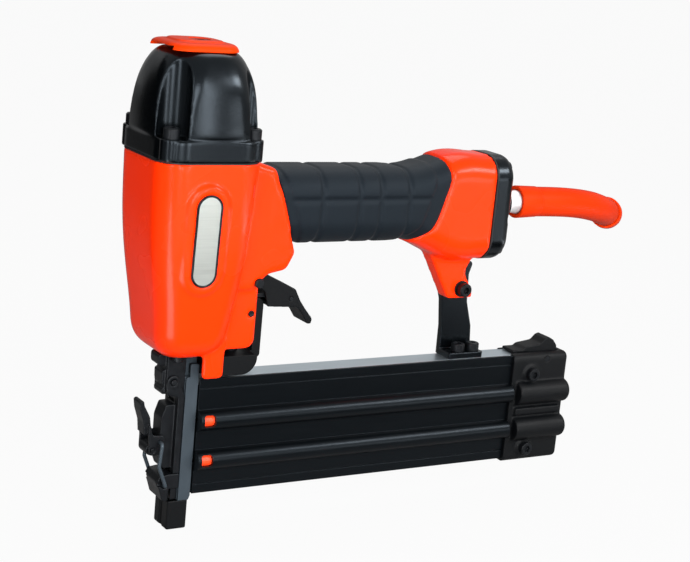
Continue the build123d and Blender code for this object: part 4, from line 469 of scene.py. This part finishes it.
# %% Material helpers
def linear(colour):
    """A colour written as sRGB hex, as the linear RGBA of a shader socket."""
    channels = []
    for start in (1, 3, 5):
        value = int(colour[start:start + 2], 16) / 255
        channels.append(value / 12.92 if value <= 0.04045 else ((value + 0.055) / 1.055) ** 2.4)
    return (channels[0], channels[1], channels[2], 1.0)


def per_mm(size):
    """The scale of a texture whose features are this many millimetres across."""
    return 1000.0 / size


def plug(material, node, inputs):
    """Give a node's inputs their values, or link them where the value is another node's output."""
    for name, value in inputs.items():
        if isinstance(value, bpy.types.NodeSocket):
            material.node_tree.links.new(value, node.inputs[name])
        else:
            node.inputs[name].default_value = value


def add_node(material, kind, inputs, **settings):
    """Add one node with its settings, its values and its links."""
    node = material.node_tree.nodes.new(kind)
    for option, value in settings.items():
        setattr(node, option, value)
    plug(material, node, inputs)
    return node


def start_material(name):
    """A new material, its Principled shader and the place of each point on the piece."""
    material = bpy.data.materials.new(name)
    material.use_nodes = True
    place = add_node(material, "ShaderNodeTexCoord", {}).outputs["Object"]
    return material, material.node_tree.nodes["Principled BSDF"], place


print("material helpers ready")

# %% [markdown]
# ## Orange enamel on the castings
# The body and handle are one die-cast aluminium part, sprayed with gloss enamel and baked. The eye
# gets a deep, even orange with a clear wet shine, a very slight orange-peel ripple in the
# reflections, and edges that are rounded by the paint. The Bevel node rounds in the shading what
# edges the rolled skin still has. Other finishes use it too, on pieces that are plain CAD meshes.

# %% Enamelled die casting
enamel, shader, place = start_material("enamelled_die_cast_aluminium_orange")
peel = add_node(enamel, "ShaderNodeTexNoise", {"Vector": place, "Scale": per_mm(2.2), "Detail": 1.0})
cloud = add_node(enamel, "ShaderNodeTexNoise", {"Vector": place, "Scale": per_mm(40), "Detail": 2.0})
gloss = add_node(enamel, "ShaderNodeMapRange", {
    "Value": cloud.outputs["Fac"], "To Min": 0.2, "To Max": 0.34,
})
edge = add_node(enamel, "ShaderNodeBevel", {"Radius": 0.0012}, samples=6)
ripple = add_node(enamel, "ShaderNodeBump", {
    "Height": peel.outputs["Fac"], "Strength": 0.06, "Distance": 0.0002,
    "Normal": edge.outputs["Normal"],
})
colour = add_node(enamel, "ShaderNodeMix", {
    0: cloud.outputs["Fac"], 6: linear("#F42D01"), 7: linear("#FC3202"),
}, data_type="RGBA")
plug(enamel, shader, {
    "Base Color": colour.outputs[2],
    "Roughness": gloss.outputs["Result"], "Normal": ripple.outputs["Normal"],
    "IOR": 1.22, "Coat Weight": 0.2, "Coat Roughness": 0.08, "Coat IOR": 1.3,
})
print("made", enamel.name)

# %% [markdown]
# ## Orange mouldings and hose cover
# The exhaust deflector is moulded ABS: the same orange but waxier, with a faint grain from the
# mould. The hose's ferrule shares it. The hose cover is extruded rubber, a little duller, with a
# fine grain of its own.

# %% Moulded ABS and hose cover
moulding, shader, place = start_material("moulded_abs_orange")
grain = add_node(moulding, "ShaderNodeTexNoise", {"Vector": place, "Scale": per_mm(0.9), "Detail": 3.0})
cloud = add_node(moulding, "ShaderNodeTexNoise", {"Vector": place, "Scale": per_mm(18), "Detail": 2.0})
edge = add_node(moulding, "ShaderNodeBevel", {"Radius": 0.0008}, samples=6)
relief = add_node(moulding, "ShaderNodeBump", {
    "Height": grain.outputs["Fac"], "Strength": 0.08, "Distance": 0.0002,
    "Normal": edge.outputs["Normal"],
})
satin = add_node(moulding, "ShaderNodeMapRange", {
    "Value": grain.outputs["Fac"], "To Min": 0.32, "To Max": 0.46,
})
colour = add_node(moulding, "ShaderNodeMix", {
    0: cloud.outputs["Fac"], 6: linear("#D03002"), 7: linear("#DC3604"),
}, data_type="RGBA")
plug(moulding, shader, {
    "Base Color": colour.outputs[2],
    "Roughness": satin.outputs["Result"], "Normal": relief.outputs["Normal"],
    "IOR": 1.15,
})

hose_cover, shader, place = start_material("extruded_rubber_hose_cover_orange")
cloud = add_node(hose_cover, "ShaderNodeTexNoise", {"Vector": place, "Scale": per_mm(9), "Detail": 3.0})
grain = add_node(hose_cover, "ShaderNodeTexNoise", {
    "Vector": place, "Scale": per_mm(0.8), "Detail": 2.0,
})
relief = add_node(hose_cover, "ShaderNodeBump", {
    "Height": grain.outputs["Fac"], "Strength": 0.1, "Distance": 0.0002,
})
satin = add_node(hose_cover, "ShaderNodeMapRange", {
    "Value": cloud.outputs["Fac"], "To Min": 0.38, "To Max": 0.55,
})
colour = add_node(hose_cover, "ShaderNodeMix", {
    0: cloud.outputs["Fac"], 6: linear("#C42B02"), 7: linear("#D23104"),
}, data_type="RGBA")
plug(hose_cover, shader, {
    "Base Color": colour.outputs[2],
    "Roughness": satin.outputs["Result"], "Normal": relief.outputs["Normal"],
    "IOR": 1.15,
})
print("made", moulding.name, "and", hose_cover.name)

# %% [markdown]
# ## Black powder coat
# The cylinder cap, the handle's end cap and the bracket are cast and powder coated. Powder melts to
# a satin skin with a fine pebble, so highlights are broad and soft. A greyer line runs along each
# edge: partly the coat thinning where it pulls back from the edge, partly a painted highlight on the
# rims. The edge line comes from comparing the rounded normal with the true one: they differ only
# close to an edge. The large black pieces shine a little blue in the photograph, so one cool tint is
# kept for their highlights.

# %% Powder coat
COOL_SHINE = linear("#D3E4F3")
powder, shader, place = start_material("powder_coated_aluminium_black")
pebble = add_node(powder, "ShaderNodeTexNoise", {"Vector": place, "Scale": per_mm(1.0), "Detail": 3.0})
cloud = add_node(powder, "ShaderNodeTexNoise", {"Vector": place, "Scale": per_mm(25), "Detail": 2.0})
satin = add_node(powder, "ShaderNodeMapRange", {
    "Value": cloud.outputs["Fac"], "To Min": 0.2, "To Max": 0.28,
})
edge = add_node(powder, "ShaderNodeBevel", {"Radius": 0.0008}, samples=6)
facing = add_node(powder, "ShaderNodeNewGeometry", {})
likeness = add_node(powder, "ShaderNodeVectorMath", {
    0: edge.outputs["Normal"], 1: facing.outputs["Normal"],
}, operation="DOT_PRODUCT")
relief = add_node(powder, "ShaderNodeBump", {
    "Height": pebble.outputs["Fac"], "Strength": 0.1, "Distance": 0.0002,
    "Normal": edge.outputs["Normal"],
})
# Near an edge the colour turns greyer: a painted highlight on the rims, and the coat thinning there.
off_edge_highlight_and_thinning = add_node(powder, "ShaderNodeMapRange", {
    "Value": likeness.outputs["Value"], "From Min": 0.86, "From Max": 0.98,
})
colour = add_node(powder, "ShaderNodeMix", {
    0: off_edge_highlight_and_thinning.outputs["Result"], 6: linear("#0C0F12"), 7: linear("#020304"),
}, data_type="RGBA")
plug(powder, shader, {
    "Base Color": colour.outputs[2],
    "Roughness": satin.outputs["Result"], "Normal": relief.outputs["Normal"],
    "IOR": 1.45, "Specular Tint": COOL_SHINE,
})
print("made", powder.name)

# %% [markdown]
# ## Black anodised extrusion
# The magazine slide is extruded aluminium, anodised black. The die leaves fine straight lines along
# its length, and the dyed oxide keeps a dull sheen. A noise that is stretched along X
# draws the lines; real ones are finer than a pixel here, so they are drawn half a millimetre apart.

# %% Anodised aluminium
anodised, shader, place = start_material("anodised_aluminium_black")
stretch = add_node(anodised, "ShaderNodeMapping", {"Vector": place, "Scale": (0.02, 1.0, 1.0)})
lines = add_node(anodised, "ShaderNodeTexNoise", {
    "Vector": stretch.outputs["Vector"], "Scale": per_mm(0.5), "Detail": 2.0,
})
satin = add_node(anodised, "ShaderNodeMapRange", {
    "Value": lines.outputs["Fac"], "To Min": 0.26, "To Max": 0.38,
})
edge = add_node(anodised, "ShaderNodeBevel", {"Radius": 0.0005}, samples=6)
relief = add_node(anodised, "ShaderNodeBump", {
    "Height": lines.outputs["Fac"], "Strength": 0.08, "Distance": 0.0001,
    "Normal": edge.outputs["Normal"],
})
colour = add_node(anodised, "ShaderNodeMix", {
    0: lines.outputs["Fac"], 6: linear("#020304"), 7: linear("#050709"),
}, data_type="RGBA")
plug(anodised, shader, {
    "Base Color": colour.outputs[2],
    "Roughness": satin.outputs["Result"], "Normal": relief.outputs["Normal"],
    "IOR": 1.33, "Specular Tint": COOL_SHINE,
})
print("made", anodised.name)

# %% [markdown]
# ## Black nylon and red acetal
# The trigger, contact tip, yoke, rocker latch and magazine end cap are glass-filled nylon: black with
# a dry, fine stipple from the spark-eroded mould. The followers that show in the windows are red
# acetal, which is slick and a little waxy.

# %% Moulded nylon and acetal
nylon, shader, place = start_material("glass_filled_nylon_black")
stipple = add_node(nylon, "ShaderNodeTexNoise", {"Vector": place, "Scale": per_mm(0.7), "Detail": 3.0})
cloud = add_node(nylon, "ShaderNodeTexNoise", {"Vector": place, "Scale": per_mm(14), "Detail": 2.0})
dry = add_node(nylon, "ShaderNodeMapRange", {
    "Value": cloud.outputs["Fac"], "To Min": 0.44, "To Max": 0.58,
})
edge = add_node(nylon, "ShaderNodeBevel", {"Radius": 0.0005}, samples=6)
relief = add_node(nylon, "ShaderNodeBump", {
    "Height": stipple.outputs["Fac"], "Strength": 0.14, "Distance": 0.0002,
    "Normal": edge.outputs["Normal"],
})
colour = add_node(nylon, "ShaderNodeMix", {
    0: stipple.outputs["Fac"], 6: linear("#020304"), 7: linear("#06080B"),
}, data_type="RGBA")
plug(nylon, shader, {
    "Base Color": colour.outputs[2],
    "Roughness": dry.outputs["Result"], "Normal": relief.outputs["Normal"],
    "IOR": 1.3,
})

acetal, shader, place = start_material("moulded_acetal_red")
cloud = add_node(acetal, "ShaderNodeTexNoise", {"Vector": place, "Scale": per_mm(4), "Detail": 2.0})
waxy = add_node(acetal, "ShaderNodeMapRange", {
    "Value": cloud.outputs["Fac"], "To Min": 0.28, "To Max": 0.42,
})
edge = add_node(acetal, "ShaderNodeBevel", {"Radius": 0.0004}, samples=6)
colour = add_node(acetal, "ShaderNodeMix", {
    0: cloud.outputs["Fac"], 6: linear("#F0360F"), 7: linear("#FF4A20"),
}, data_type="RGBA")
plug(acetal, shader, {
    "Base Color": colour.outputs[2],
    "Roughness": waxy.outputs["Result"], "Normal": edge.outputs["Normal"],
})
print("made", nylon.name, "and", acetal.name)

# %% [markdown]
# ## Rubbers
# The grip is soft moulded rubber, charcoal rather than black, with a fine skin texture and a dusty
# sheen at grazing angles. Gaskets, O-rings and the bumper are plain black nitrile.

# %% Grip rubber and nitrile
rubber, shader, place = start_material("moulded_grip_rubber_charcoal")
skin = add_node(rubber, "ShaderNodeTexNoise", {"Vector": place, "Scale": per_mm(0.8), "Detail": 3.0})
cloud = add_node(rubber, "ShaderNodeTexNoise", {"Vector": place, "Scale": per_mm(20), "Detail": 3.0})
dull = add_node(rubber, "ShaderNodeMapRange", {
    "Value": cloud.outputs["Fac"], "To Min": 0.52, "To Max": 0.68,
})
relief = add_node(rubber, "ShaderNodeBump", {
    "Height": skin.outputs["Fac"], "Strength": 0.2, "Distance": 0.0002,
})
colour = add_node(rubber, "ShaderNodeMix", {
    0: cloud.outputs["Fac"], 6: linear("#080C11"), 7: linear("#0D1318"),
}, data_type="RGBA")
plug(rubber, shader, {
    "Base Color": colour.outputs[2],
    "Roughness": dull.outputs["Result"], "Normal": relief.outputs["Normal"],
    "IOR": 1.35, "Specular Tint": COOL_SHINE, "Sheen Weight": 0.02, "Sheen Roughness": 0.4,
})

nitrile, shader, place = start_material("nitrile_rubber_black")
skin = add_node(nitrile, "ShaderNodeTexNoise", {"Vector": place, "Scale": per_mm(0.9), "Detail": 2.0})
dull = add_node(nitrile, "ShaderNodeMapRange", {
    "Value": skin.outputs["Fac"], "To Min": 0.55, "To Max": 0.7,
})
relief = add_node(nitrile, "ShaderNodeBump", {
    "Height": skin.outputs["Fac"], "Strength": 0.1, "Distance": 0.0002,
})
colour = add_node(nitrile, "ShaderNodeMix", {
    0: skin.outputs["Fac"], 6: linear("#0E0E0F"), 7: linear("#161617"),
}, data_type="RGBA")
plug(nitrile, shader, {
    "Base Color": colour.outputs[2],
    "Roughness": dull.outputs["Result"], "Normal": relief.outputs["Normal"],
})
print("made", rubber.name, "and", nitrile.name)

# %% [markdown]
# ## Bare and treated steels
# Screws, pins, the latch lever and the nose castings are black oxide: the oxide is thin, so the steel
# still gleams through. The nose guide, the contact arm and the wire bail are phosphated, a dark
# blue-grey with a dry crystal grain. Inner springs and the pusher are zinc plated, pale with a slight
# cloud. The air plug is satin nickel, paler still.

# %% Steels
oxide, shader, place = start_material("black_oxide_steel")
cloud = add_node(oxide, "ShaderNodeTexNoise", {"Vector": place, "Scale": per_mm(3), "Detail": 3.0})
gleam = add_node(oxide, "ShaderNodeMapRange", {
    "Value": cloud.outputs["Fac"], "To Min": 0.3, "To Max": 0.5,
})
edge = add_node(oxide, "ShaderNodeBevel", {"Radius": 0.0003}, samples=6)
colour = add_node(oxide, "ShaderNodeMix", {
    0: cloud.outputs["Fac"], 6: linear("#0F1114"), 7: linear("#1A1D21"),
}, data_type="RGBA")
plug(oxide, shader, {
    "Base Color": colour.outputs[2],
    "Metallic": 0.6, "Roughness": gleam.outputs["Result"], "Normal": edge.outputs["Normal"],
})

phosphate, shader, place = start_material("phosphated_steel_grey")
crystal = add_node(phosphate, "ShaderNodeTexNoise", {
    "Vector": place, "Scale": per_mm(0.8), "Detail": 4.0,
})
cloud = add_node(phosphate, "ShaderNodeTexNoise", {"Vector": place, "Scale": per_mm(11), "Detail": 3.0})
dry = add_node(phosphate, "ShaderNodeMapRange", {
    "Value": crystal.outputs["Fac"], "To Min": 0.4, "To Max": 0.58,
})
edge = add_node(phosphate, "ShaderNodeBevel", {"Radius": 0.0004}, samples=6)
relief = add_node(phosphate, "ShaderNodeBump", {
    "Height": crystal.outputs["Fac"], "Strength": 0.08, "Distance": 0.0001,
    "Normal": edge.outputs["Normal"],
})
colour = add_node(phosphate, "ShaderNodeMix", {
    0: cloud.outputs["Fac"], 6: linear("#363F46"), 7: linear("#444E56"),
}, data_type="RGBA")
plug(phosphate, shader, {
    "Base Color": colour.outputs[2],
    "Metallic": 0.55, "Roughness": dry.outputs["Result"], "Normal": relief.outputs["Normal"],
})

zinc, shader, place = start_material("zinc_plated_steel")
cloud = add_node(zinc, "ShaderNodeTexNoise", {"Vector": place, "Scale": per_mm(5), "Detail": 3.0})
gleam = add_node(zinc, "ShaderNodeMapRange", {
    "Value": cloud.outputs["Fac"], "To Min": 0.2, "To Max": 0.36,
})
edge = add_node(zinc, "ShaderNodeBevel", {"Radius": 0.0003}, samples=6)
colour = add_node(zinc, "ShaderNodeMix", {
    0: cloud.outputs["Fac"], 6: linear("#B9BEC4"), 7: linear("#D3D5D6"),
}, data_type="RGBA")
plug(zinc, shader, {
    "Base Color": colour.outputs[2],
    "Metallic": 1.0, "Roughness": gleam.outputs["Result"], "Normal": edge.outputs["Normal"],
})

nickel, shader, place = start_material("satin_nickel_plated_steel")
cloud = add_node(nickel, "ShaderNodeTexNoise", {"Vector": place, "Scale": per_mm(3), "Detail": 2.0})
satin = add_node(nickel, "ShaderNodeMapRange", {
    "Value": cloud.outputs["Fac"], "To Min": 0.42, "To Max": 0.54,
})
colour = add_node(nickel, "ShaderNodeMix", {
    0: cloud.outputs["Fac"], 6: linear("#EDEFF1"), 7: linear("#FAFAFA"),
}, data_type="RGBA")
plug(nickel, shader, {
    "Base Color": colour.outputs[2], "Metallic": 0.7, "Roughness": satin.outputs["Result"],
})
print("made", oxide.name, phosphate.name, zinc.name, nickel.name)

# %% [markdown]
# ## Pale metals
# The magazine's fixed rail is clear-anodised aluminium with the draw lines of the extrusion along
# it. The badge is a plain plate, brushed across. The hose's threaded end is turned brass.

# %% Aluminium and brass
rail_alloy, shader, place = start_material("clear_anodised_aluminium")
stretch = add_node(rail_alloy, "ShaderNodeMapping", {"Vector": place, "Scale": (0.02, 1.0, 1.0)})
lines = add_node(rail_alloy, "ShaderNodeTexNoise", {
    "Vector": stretch.outputs["Vector"], "Scale": per_mm(0.5), "Detail": 2.0,
})
satin = add_node(rail_alloy, "ShaderNodeMapRange", {
    "Value": lines.outputs["Fac"], "To Min": 0.26, "To Max": 0.42,
})
edge = add_node(rail_alloy, "ShaderNodeBevel", {"Radius": 0.0003}, samples=6)
relief = add_node(rail_alloy, "ShaderNodeBump", {
    "Height": lines.outputs["Fac"], "Strength": 0.06, "Distance": 0.0001,
    "Normal": edge.outputs["Normal"],
})
colour = add_node(rail_alloy, "ShaderNodeMix", {
    0: lines.outputs["Fac"], 6: linear("#C4D1D9"), 7: linear("#D6E2E9"),
}, data_type="RGBA")
plug(rail_alloy, shader, {
    "Base Color": colour.outputs[2],
    "Metallic": 1.0, "Roughness": satin.outputs["Result"], "Normal": relief.outputs["Normal"],
})

badge_alloy, shader, place = start_material("brushed_aluminium_plate")
stretch = add_node(badge_alloy, "ShaderNodeMapping", {"Vector": place, "Scale": (0.03, 1.0, 1.0)})
lines = add_node(badge_alloy, "ShaderNodeTexNoise", {
    "Vector": stretch.outputs["Vector"], "Scale": per_mm(0.6), "Detail": 2.0,
})
satin = add_node(badge_alloy, "ShaderNodeMapRange", {
    "Value": lines.outputs["Fac"], "To Min": 0.25, "To Max": 0.45,
})
edge = add_node(badge_alloy, "ShaderNodeBevel", {"Radius": 0.0003}, samples=6)
relief = add_node(badge_alloy, "ShaderNodeBump", {
    "Height": lines.outputs["Fac"], "Strength": 0.1, "Distance": 0.0001,
    "Normal": edge.outputs["Normal"],
})
colour = add_node(badge_alloy, "ShaderNodeMix", {
    0: lines.outputs["Fac"], 6: linear("#D6DBD5"), 7: linear("#E6EAE4"),
}, data_type="RGBA")
plug(badge_alloy, shader, {
    "Base Color": colour.outputs[2],
    "Metallic": 1.0, "Roughness": satin.outputs["Result"], "Normal": relief.outputs["Normal"],
})

brass, shader, place = start_material("turned_brass")
cloud = add_node(brass, "ShaderNodeTexNoise", {"Vector": place, "Scale": per_mm(4), "Detail": 3.0})
gleam = add_node(brass, "ShaderNodeMapRange", {
    "Value": cloud.outputs["Fac"], "To Min": 0.2, "To Max": 0.38,
})
edge = add_node(brass, "ShaderNodeBevel", {"Radius": 0.0003}, samples=6)
colour = add_node(brass, "ShaderNodeMix", {
    0: cloud.outputs["Fac"], 6: linear("#B98F3C"), 7: linear("#D2AC5A"),
}, data_type="RGBA")
plug(brass, shader, {
    "Base Color": colour.outputs[2],
    "Metallic": 1.0, "Roughness": gleam.outputs["Result"], "Normal": edge.outputs["Normal"],
})
print("made", rail_alloy.name, badge_alloy.name, brass.name)

# %% [markdown]
# ## Giving each piece its finish
# The record names a material slot for every CAD node, so a small table from slot to finish dresses
# them all. A node that needs a finish of its own is named after that.

# %% Dress the nodes
FINISHES = {
    "orange_paint": enamel, "orange_plastic": moulding, "orange_hose": hose_cover,
    "black_paint": powder, "black_anodised": anodised, "black_plastic": nylon,
    "red_plastic": acetal, "grip_rubber": rubber, "seal_rubber": nitrile,
    "black_steel": oxide, "grey_steel": phosphate, "bright_steel": zinc,
    "bright_aluminium": rail_alloy, "brass": brass,
}
OWN_FINISHES = {"badge_plate": badge_alloy, "latch_bail": phosphate, "hose_ferrule": moulding}
OXIDE_NODES = (
    "latch_pin", "hinge_pin", "magazine_latch_pin", "trip_pin", "trip_lever", "safety_spring",
)
for node in OXIDE_NODES:
    OWN_FINISHES[node] = oxide


def dress(piece, finish):
    """Give a piece one finish all over."""
    piece.data.materials.clear()
    piece.data.materials.append(finish)


for row in frame["record"]["subparts"]:
    node = nodes[row["node"]]
    finish = OWN_FINISHES.get(row["node"], FINISHES[row["material_slot"]])
    for slot in node.material_slots:
        slot.material = finish
for node, piece in (*castings.items(), *springs.items()):
    dress(piece, OWN_FINISHES.get(node, FINISHES[SLOTS[node]]))
dress(hose, hose_cover)
dress(hose_cuff, hose_cover)
dress(turned_plug, nickel)
dress(grip, rubber)
dress(badge_rim, powder)
dress(roll_pin, oxide)
print("dressed", len(SLOTS), "nodes,", len(castings), "castings,", len(springs), "springs and the trim")

# %% [markdown]
# ## The floor
# The photograph is a catalogue shot: soft lamps, white all round. The floor is a large pale plane.
# For the camera's own rays most of its light is plain white, so that it reads as white paper and
# still keeps a faint shadow. Reflections get only a little of that white, or it would lie on the
# gloss paint as a veil.

# %% Floor
FLOOR_SIZE, FLOOR_HEIGHT = 40.0, -0.0005
WHITE_SEEN, WHITE_MIRRORED = 0.95, 0.1
bpy.ops.object.select_all(action="DESELECT")
bpy.ops.mesh.primitive_plane_add(size=FLOOR_SIZE, location=(0.0, 0.0, FLOOR_HEIGHT))
floor = bpy.context.object
floor.name = "studio_floor"
paper, shader, place = start_material("white_studio_paper")
fibre = add_node(paper, "ShaderNodeTexNoise", {"Vector": place, "Scale": per_mm(6), "Detail": 2.0})
colour = add_node(paper, "ShaderNodeMix", {
    0: fibre.outputs["Fac"], 6: linear("#8C8C8C"), 7: linear("#929292"),
}, data_type="RGBA")
plug(paper, shader, {"Base Color": colour.outputs[2], "Roughness": 0.9, "Specular IOR Level": 0.1})
white = add_node(paper, "ShaderNodeEmission", {"Color": (1.0, 1.0, 1.0, 1.0), "Strength": 1.0})
ray = add_node(paper, "ShaderNodeLightPath", {})
mirrored = add_node(paper, "ShaderNodeMath", {
    0: ray.outputs["Is Glossy Ray"], 1: ray.outputs["Is Transmission Ray"],
}, operation="MAXIMUM")
dimmed = add_node(paper, "ShaderNodeMath", {
    0: mirrored.outputs["Value"], 1: WHITE_MIRRORED,
}, operation="MULTIPLY")
direct = add_node(paper, "ShaderNodeMath", {
    0: ray.outputs["Is Camera Ray"], 1: WHITE_SEEN,
}, operation="MULTIPLY")
share = add_node(paper, "ShaderNodeMath", {
    0: dimmed.outputs["Value"], 1: direct.outputs["Value"],
}, operation="MAXIMUM")
blend = add_node(paper, "ShaderNodeMixShader", {
    0: share.outputs["Value"], 1: shader.outputs["BSDF"], 2: white.outputs["Emission"],
})
plug(paper, paper.node_tree.nodes["Material Output"], {"Surface": blend.outputs["Shader"]})
dress(floor, paper)
print("floor laid")

# %% [markdown]
# ## The lamps
# Gloss shows the lamps themselves, so each has the shape of the highlight that it makes. An upright
# strip in front draws the streak down the cap, a flat one lies along the magazine's tubes, a small
# card lights the handle's rear block, and two strips lie on the floor and shine up. Two fills hide
# from reflections and only brighten the paint. The other softboxes light from the left, the front
# and above.

# %% Lamps
def add_softbox(name, place, target, width, height, power):
    """A rectangular area lamp at a place, turned to face a target."""
    bpy.ops.object.select_all(action="DESELECT")
    bpy.ops.object.light_add(type="AREA", location=place)
    lamp = bpy.context.object
    lamp.name = name
    lamp.data.shape = "RECTANGLE"
    lamp.data.size = width
    lamp.data.size_y = height
    lamp.data.energy = power
    aim = Vector(target) - Vector(place)
    lamp.rotation_euler = aim.to_track_quat("-Z", "Y").to_euler()
    lamp.visible_camera = False
    return lamp


MIDDLE = (0.08, 0.0, 0.12)
key_fill = add_softbox("key_fill", (0.46, -0.84, 0.36), MIDDLE, 0.45, 0.6, 2.4)
key_fill.visible_glossy = False
front_fill = add_softbox("front_fill", (-0.1, -0.62, 0.3), MIDDLE, 0.3, 0.4, 4.4)
front_fill.visible_glossy = False
add_softbox("key_strip", (0.27, -0.88, 0.34), MIDDLE, 0.12, 0.66, 2.4)
add_softbox("tube_strip", (0.66, -0.56, 0.62), MIDDLE, 0.4, 0.16, 3.2)
add_softbox("rear_card", (0.62, -0.76, 0.13), MIDDLE, 0.2, 0.16, 0.5)
add_softbox("left_fill", (-0.72, -0.55, 0.4), MIDDLE, 0.16, 0.7, 2.6)
add_softbox("front_softbox", (-0.2, -1.0, 0.34), MIDDLE, 0.3, 0.6, 4.0)
add_softbox("top_softbox", (0.3, 0.3, 1.05), MIDDLE, 0.7, 0.7, 4.6)
floor_strip = add_softbox(
    "floor_strip", (-0.31, -0.31, 0.002), (-0.31, -0.31, 1.0), 0.1, 0.54, 1.4,
)
floor_strip.rotation_euler = (math.radians(180), 0.0, math.radians(-45))
add_softbox("right_strip", (0.58, -0.3, 0.002), (0.58, -0.3, 1.0), 0.12, 0.5, 0.9)
print("lamps set")

# %% [markdown]
# ## Black flags
# Gloss paint mirrors whatever stands round it, and white paper in front and behind would lay a milky
# veil over the orange and the blacks. A photographer hangs black cloth there, called a flag. Ours are
# two planes that only reflections can see: one stands behind on the left, where the cylinder's front
# side looks, and one lies on the floor in front, where the magazine's flat side looks.

# %% Hang the flags
def add_flag(name, size, place, turn):
    """A plane of black cloth that only shows in reflections."""
    bpy.ops.object.select_all(action="DESELECT")
    bpy.ops.mesh.primitive_plane_add(size=1.0, location=place, rotation=turn)
    flag = bpy.context.object
    flag.name = name
    flag.scale = (size[0], size[1], 1.0)
    flag.visible_camera = False
    flag.visible_diffuse = False
    flag.visible_shadow = False
    dress(flag, velvet)


velvet, shader, place = start_material("black_velvet")
pile = add_node(velvet, "ShaderNodeTexNoise", {"Vector": place, "Scale": per_mm(5), "Detail": 2.0})
colour = add_node(velvet, "ShaderNodeMix", {
    0: pile.outputs["Fac"], 6: linear("#060606"), 7: linear("#0C0C0C"),
}, data_type="RGBA")
plug(velvet, shader, {"Base Color": colour.outputs[2], "Roughness": 1.0, "Specular IOR Level": 0.0})
add_flag("left_flag", (0.3, 0.44), (-0.275, 0.217, 0.22), (math.radians(90), 0.0, math.radians(32)))
add_flag("front_flag", (0.5, 0.26), (0.2, -0.24, 0.001), (0.0, 0.0, 0.0))
print("flags hung")

# %% [markdown]
# ## White surroundings
# The world is white to the camera, about half as bright in reflections, and dimmer still as a lamp,
# so that it does not wash the colours out. The Standard view shows each colour as it is written.

# %% White world
WORLD_AS_LAMP, WORLD_MIRRORED = 0.13, 0.45
world = bpy.data.worlds.new("white_surroundings")
bpy.context.scene.world = world
world.use_nodes = True
ray = add_node(world, "ShaderNodeLightPath", {})
mirrored = add_node(world, "ShaderNodeMath", {
    0: ray.outputs["Is Glossy Ray"], 1: ray.outputs["Is Transmission Ray"],
}, operation="MAXIMUM")
strength = add_node(world, "ShaderNodeMapRange", {
    "Value": mirrored.outputs["Value"], "To Min": WORLD_AS_LAMP, "To Max": WORLD_MIRRORED,
})
strength = add_node(world, "ShaderNodeMath", {
    0: strength.outputs["Result"], 1: ray.outputs["Is Camera Ray"],
}, operation="MAXIMUM")
plug(world, world.node_tree.nodes["Background"], {
    "Color": (1.0, 1.0, 1.0, 1.0), "Strength": strength.outputs["Value"],
})
bpy.context.scene.view_settings.view_transform = "Standard"
print("world set")
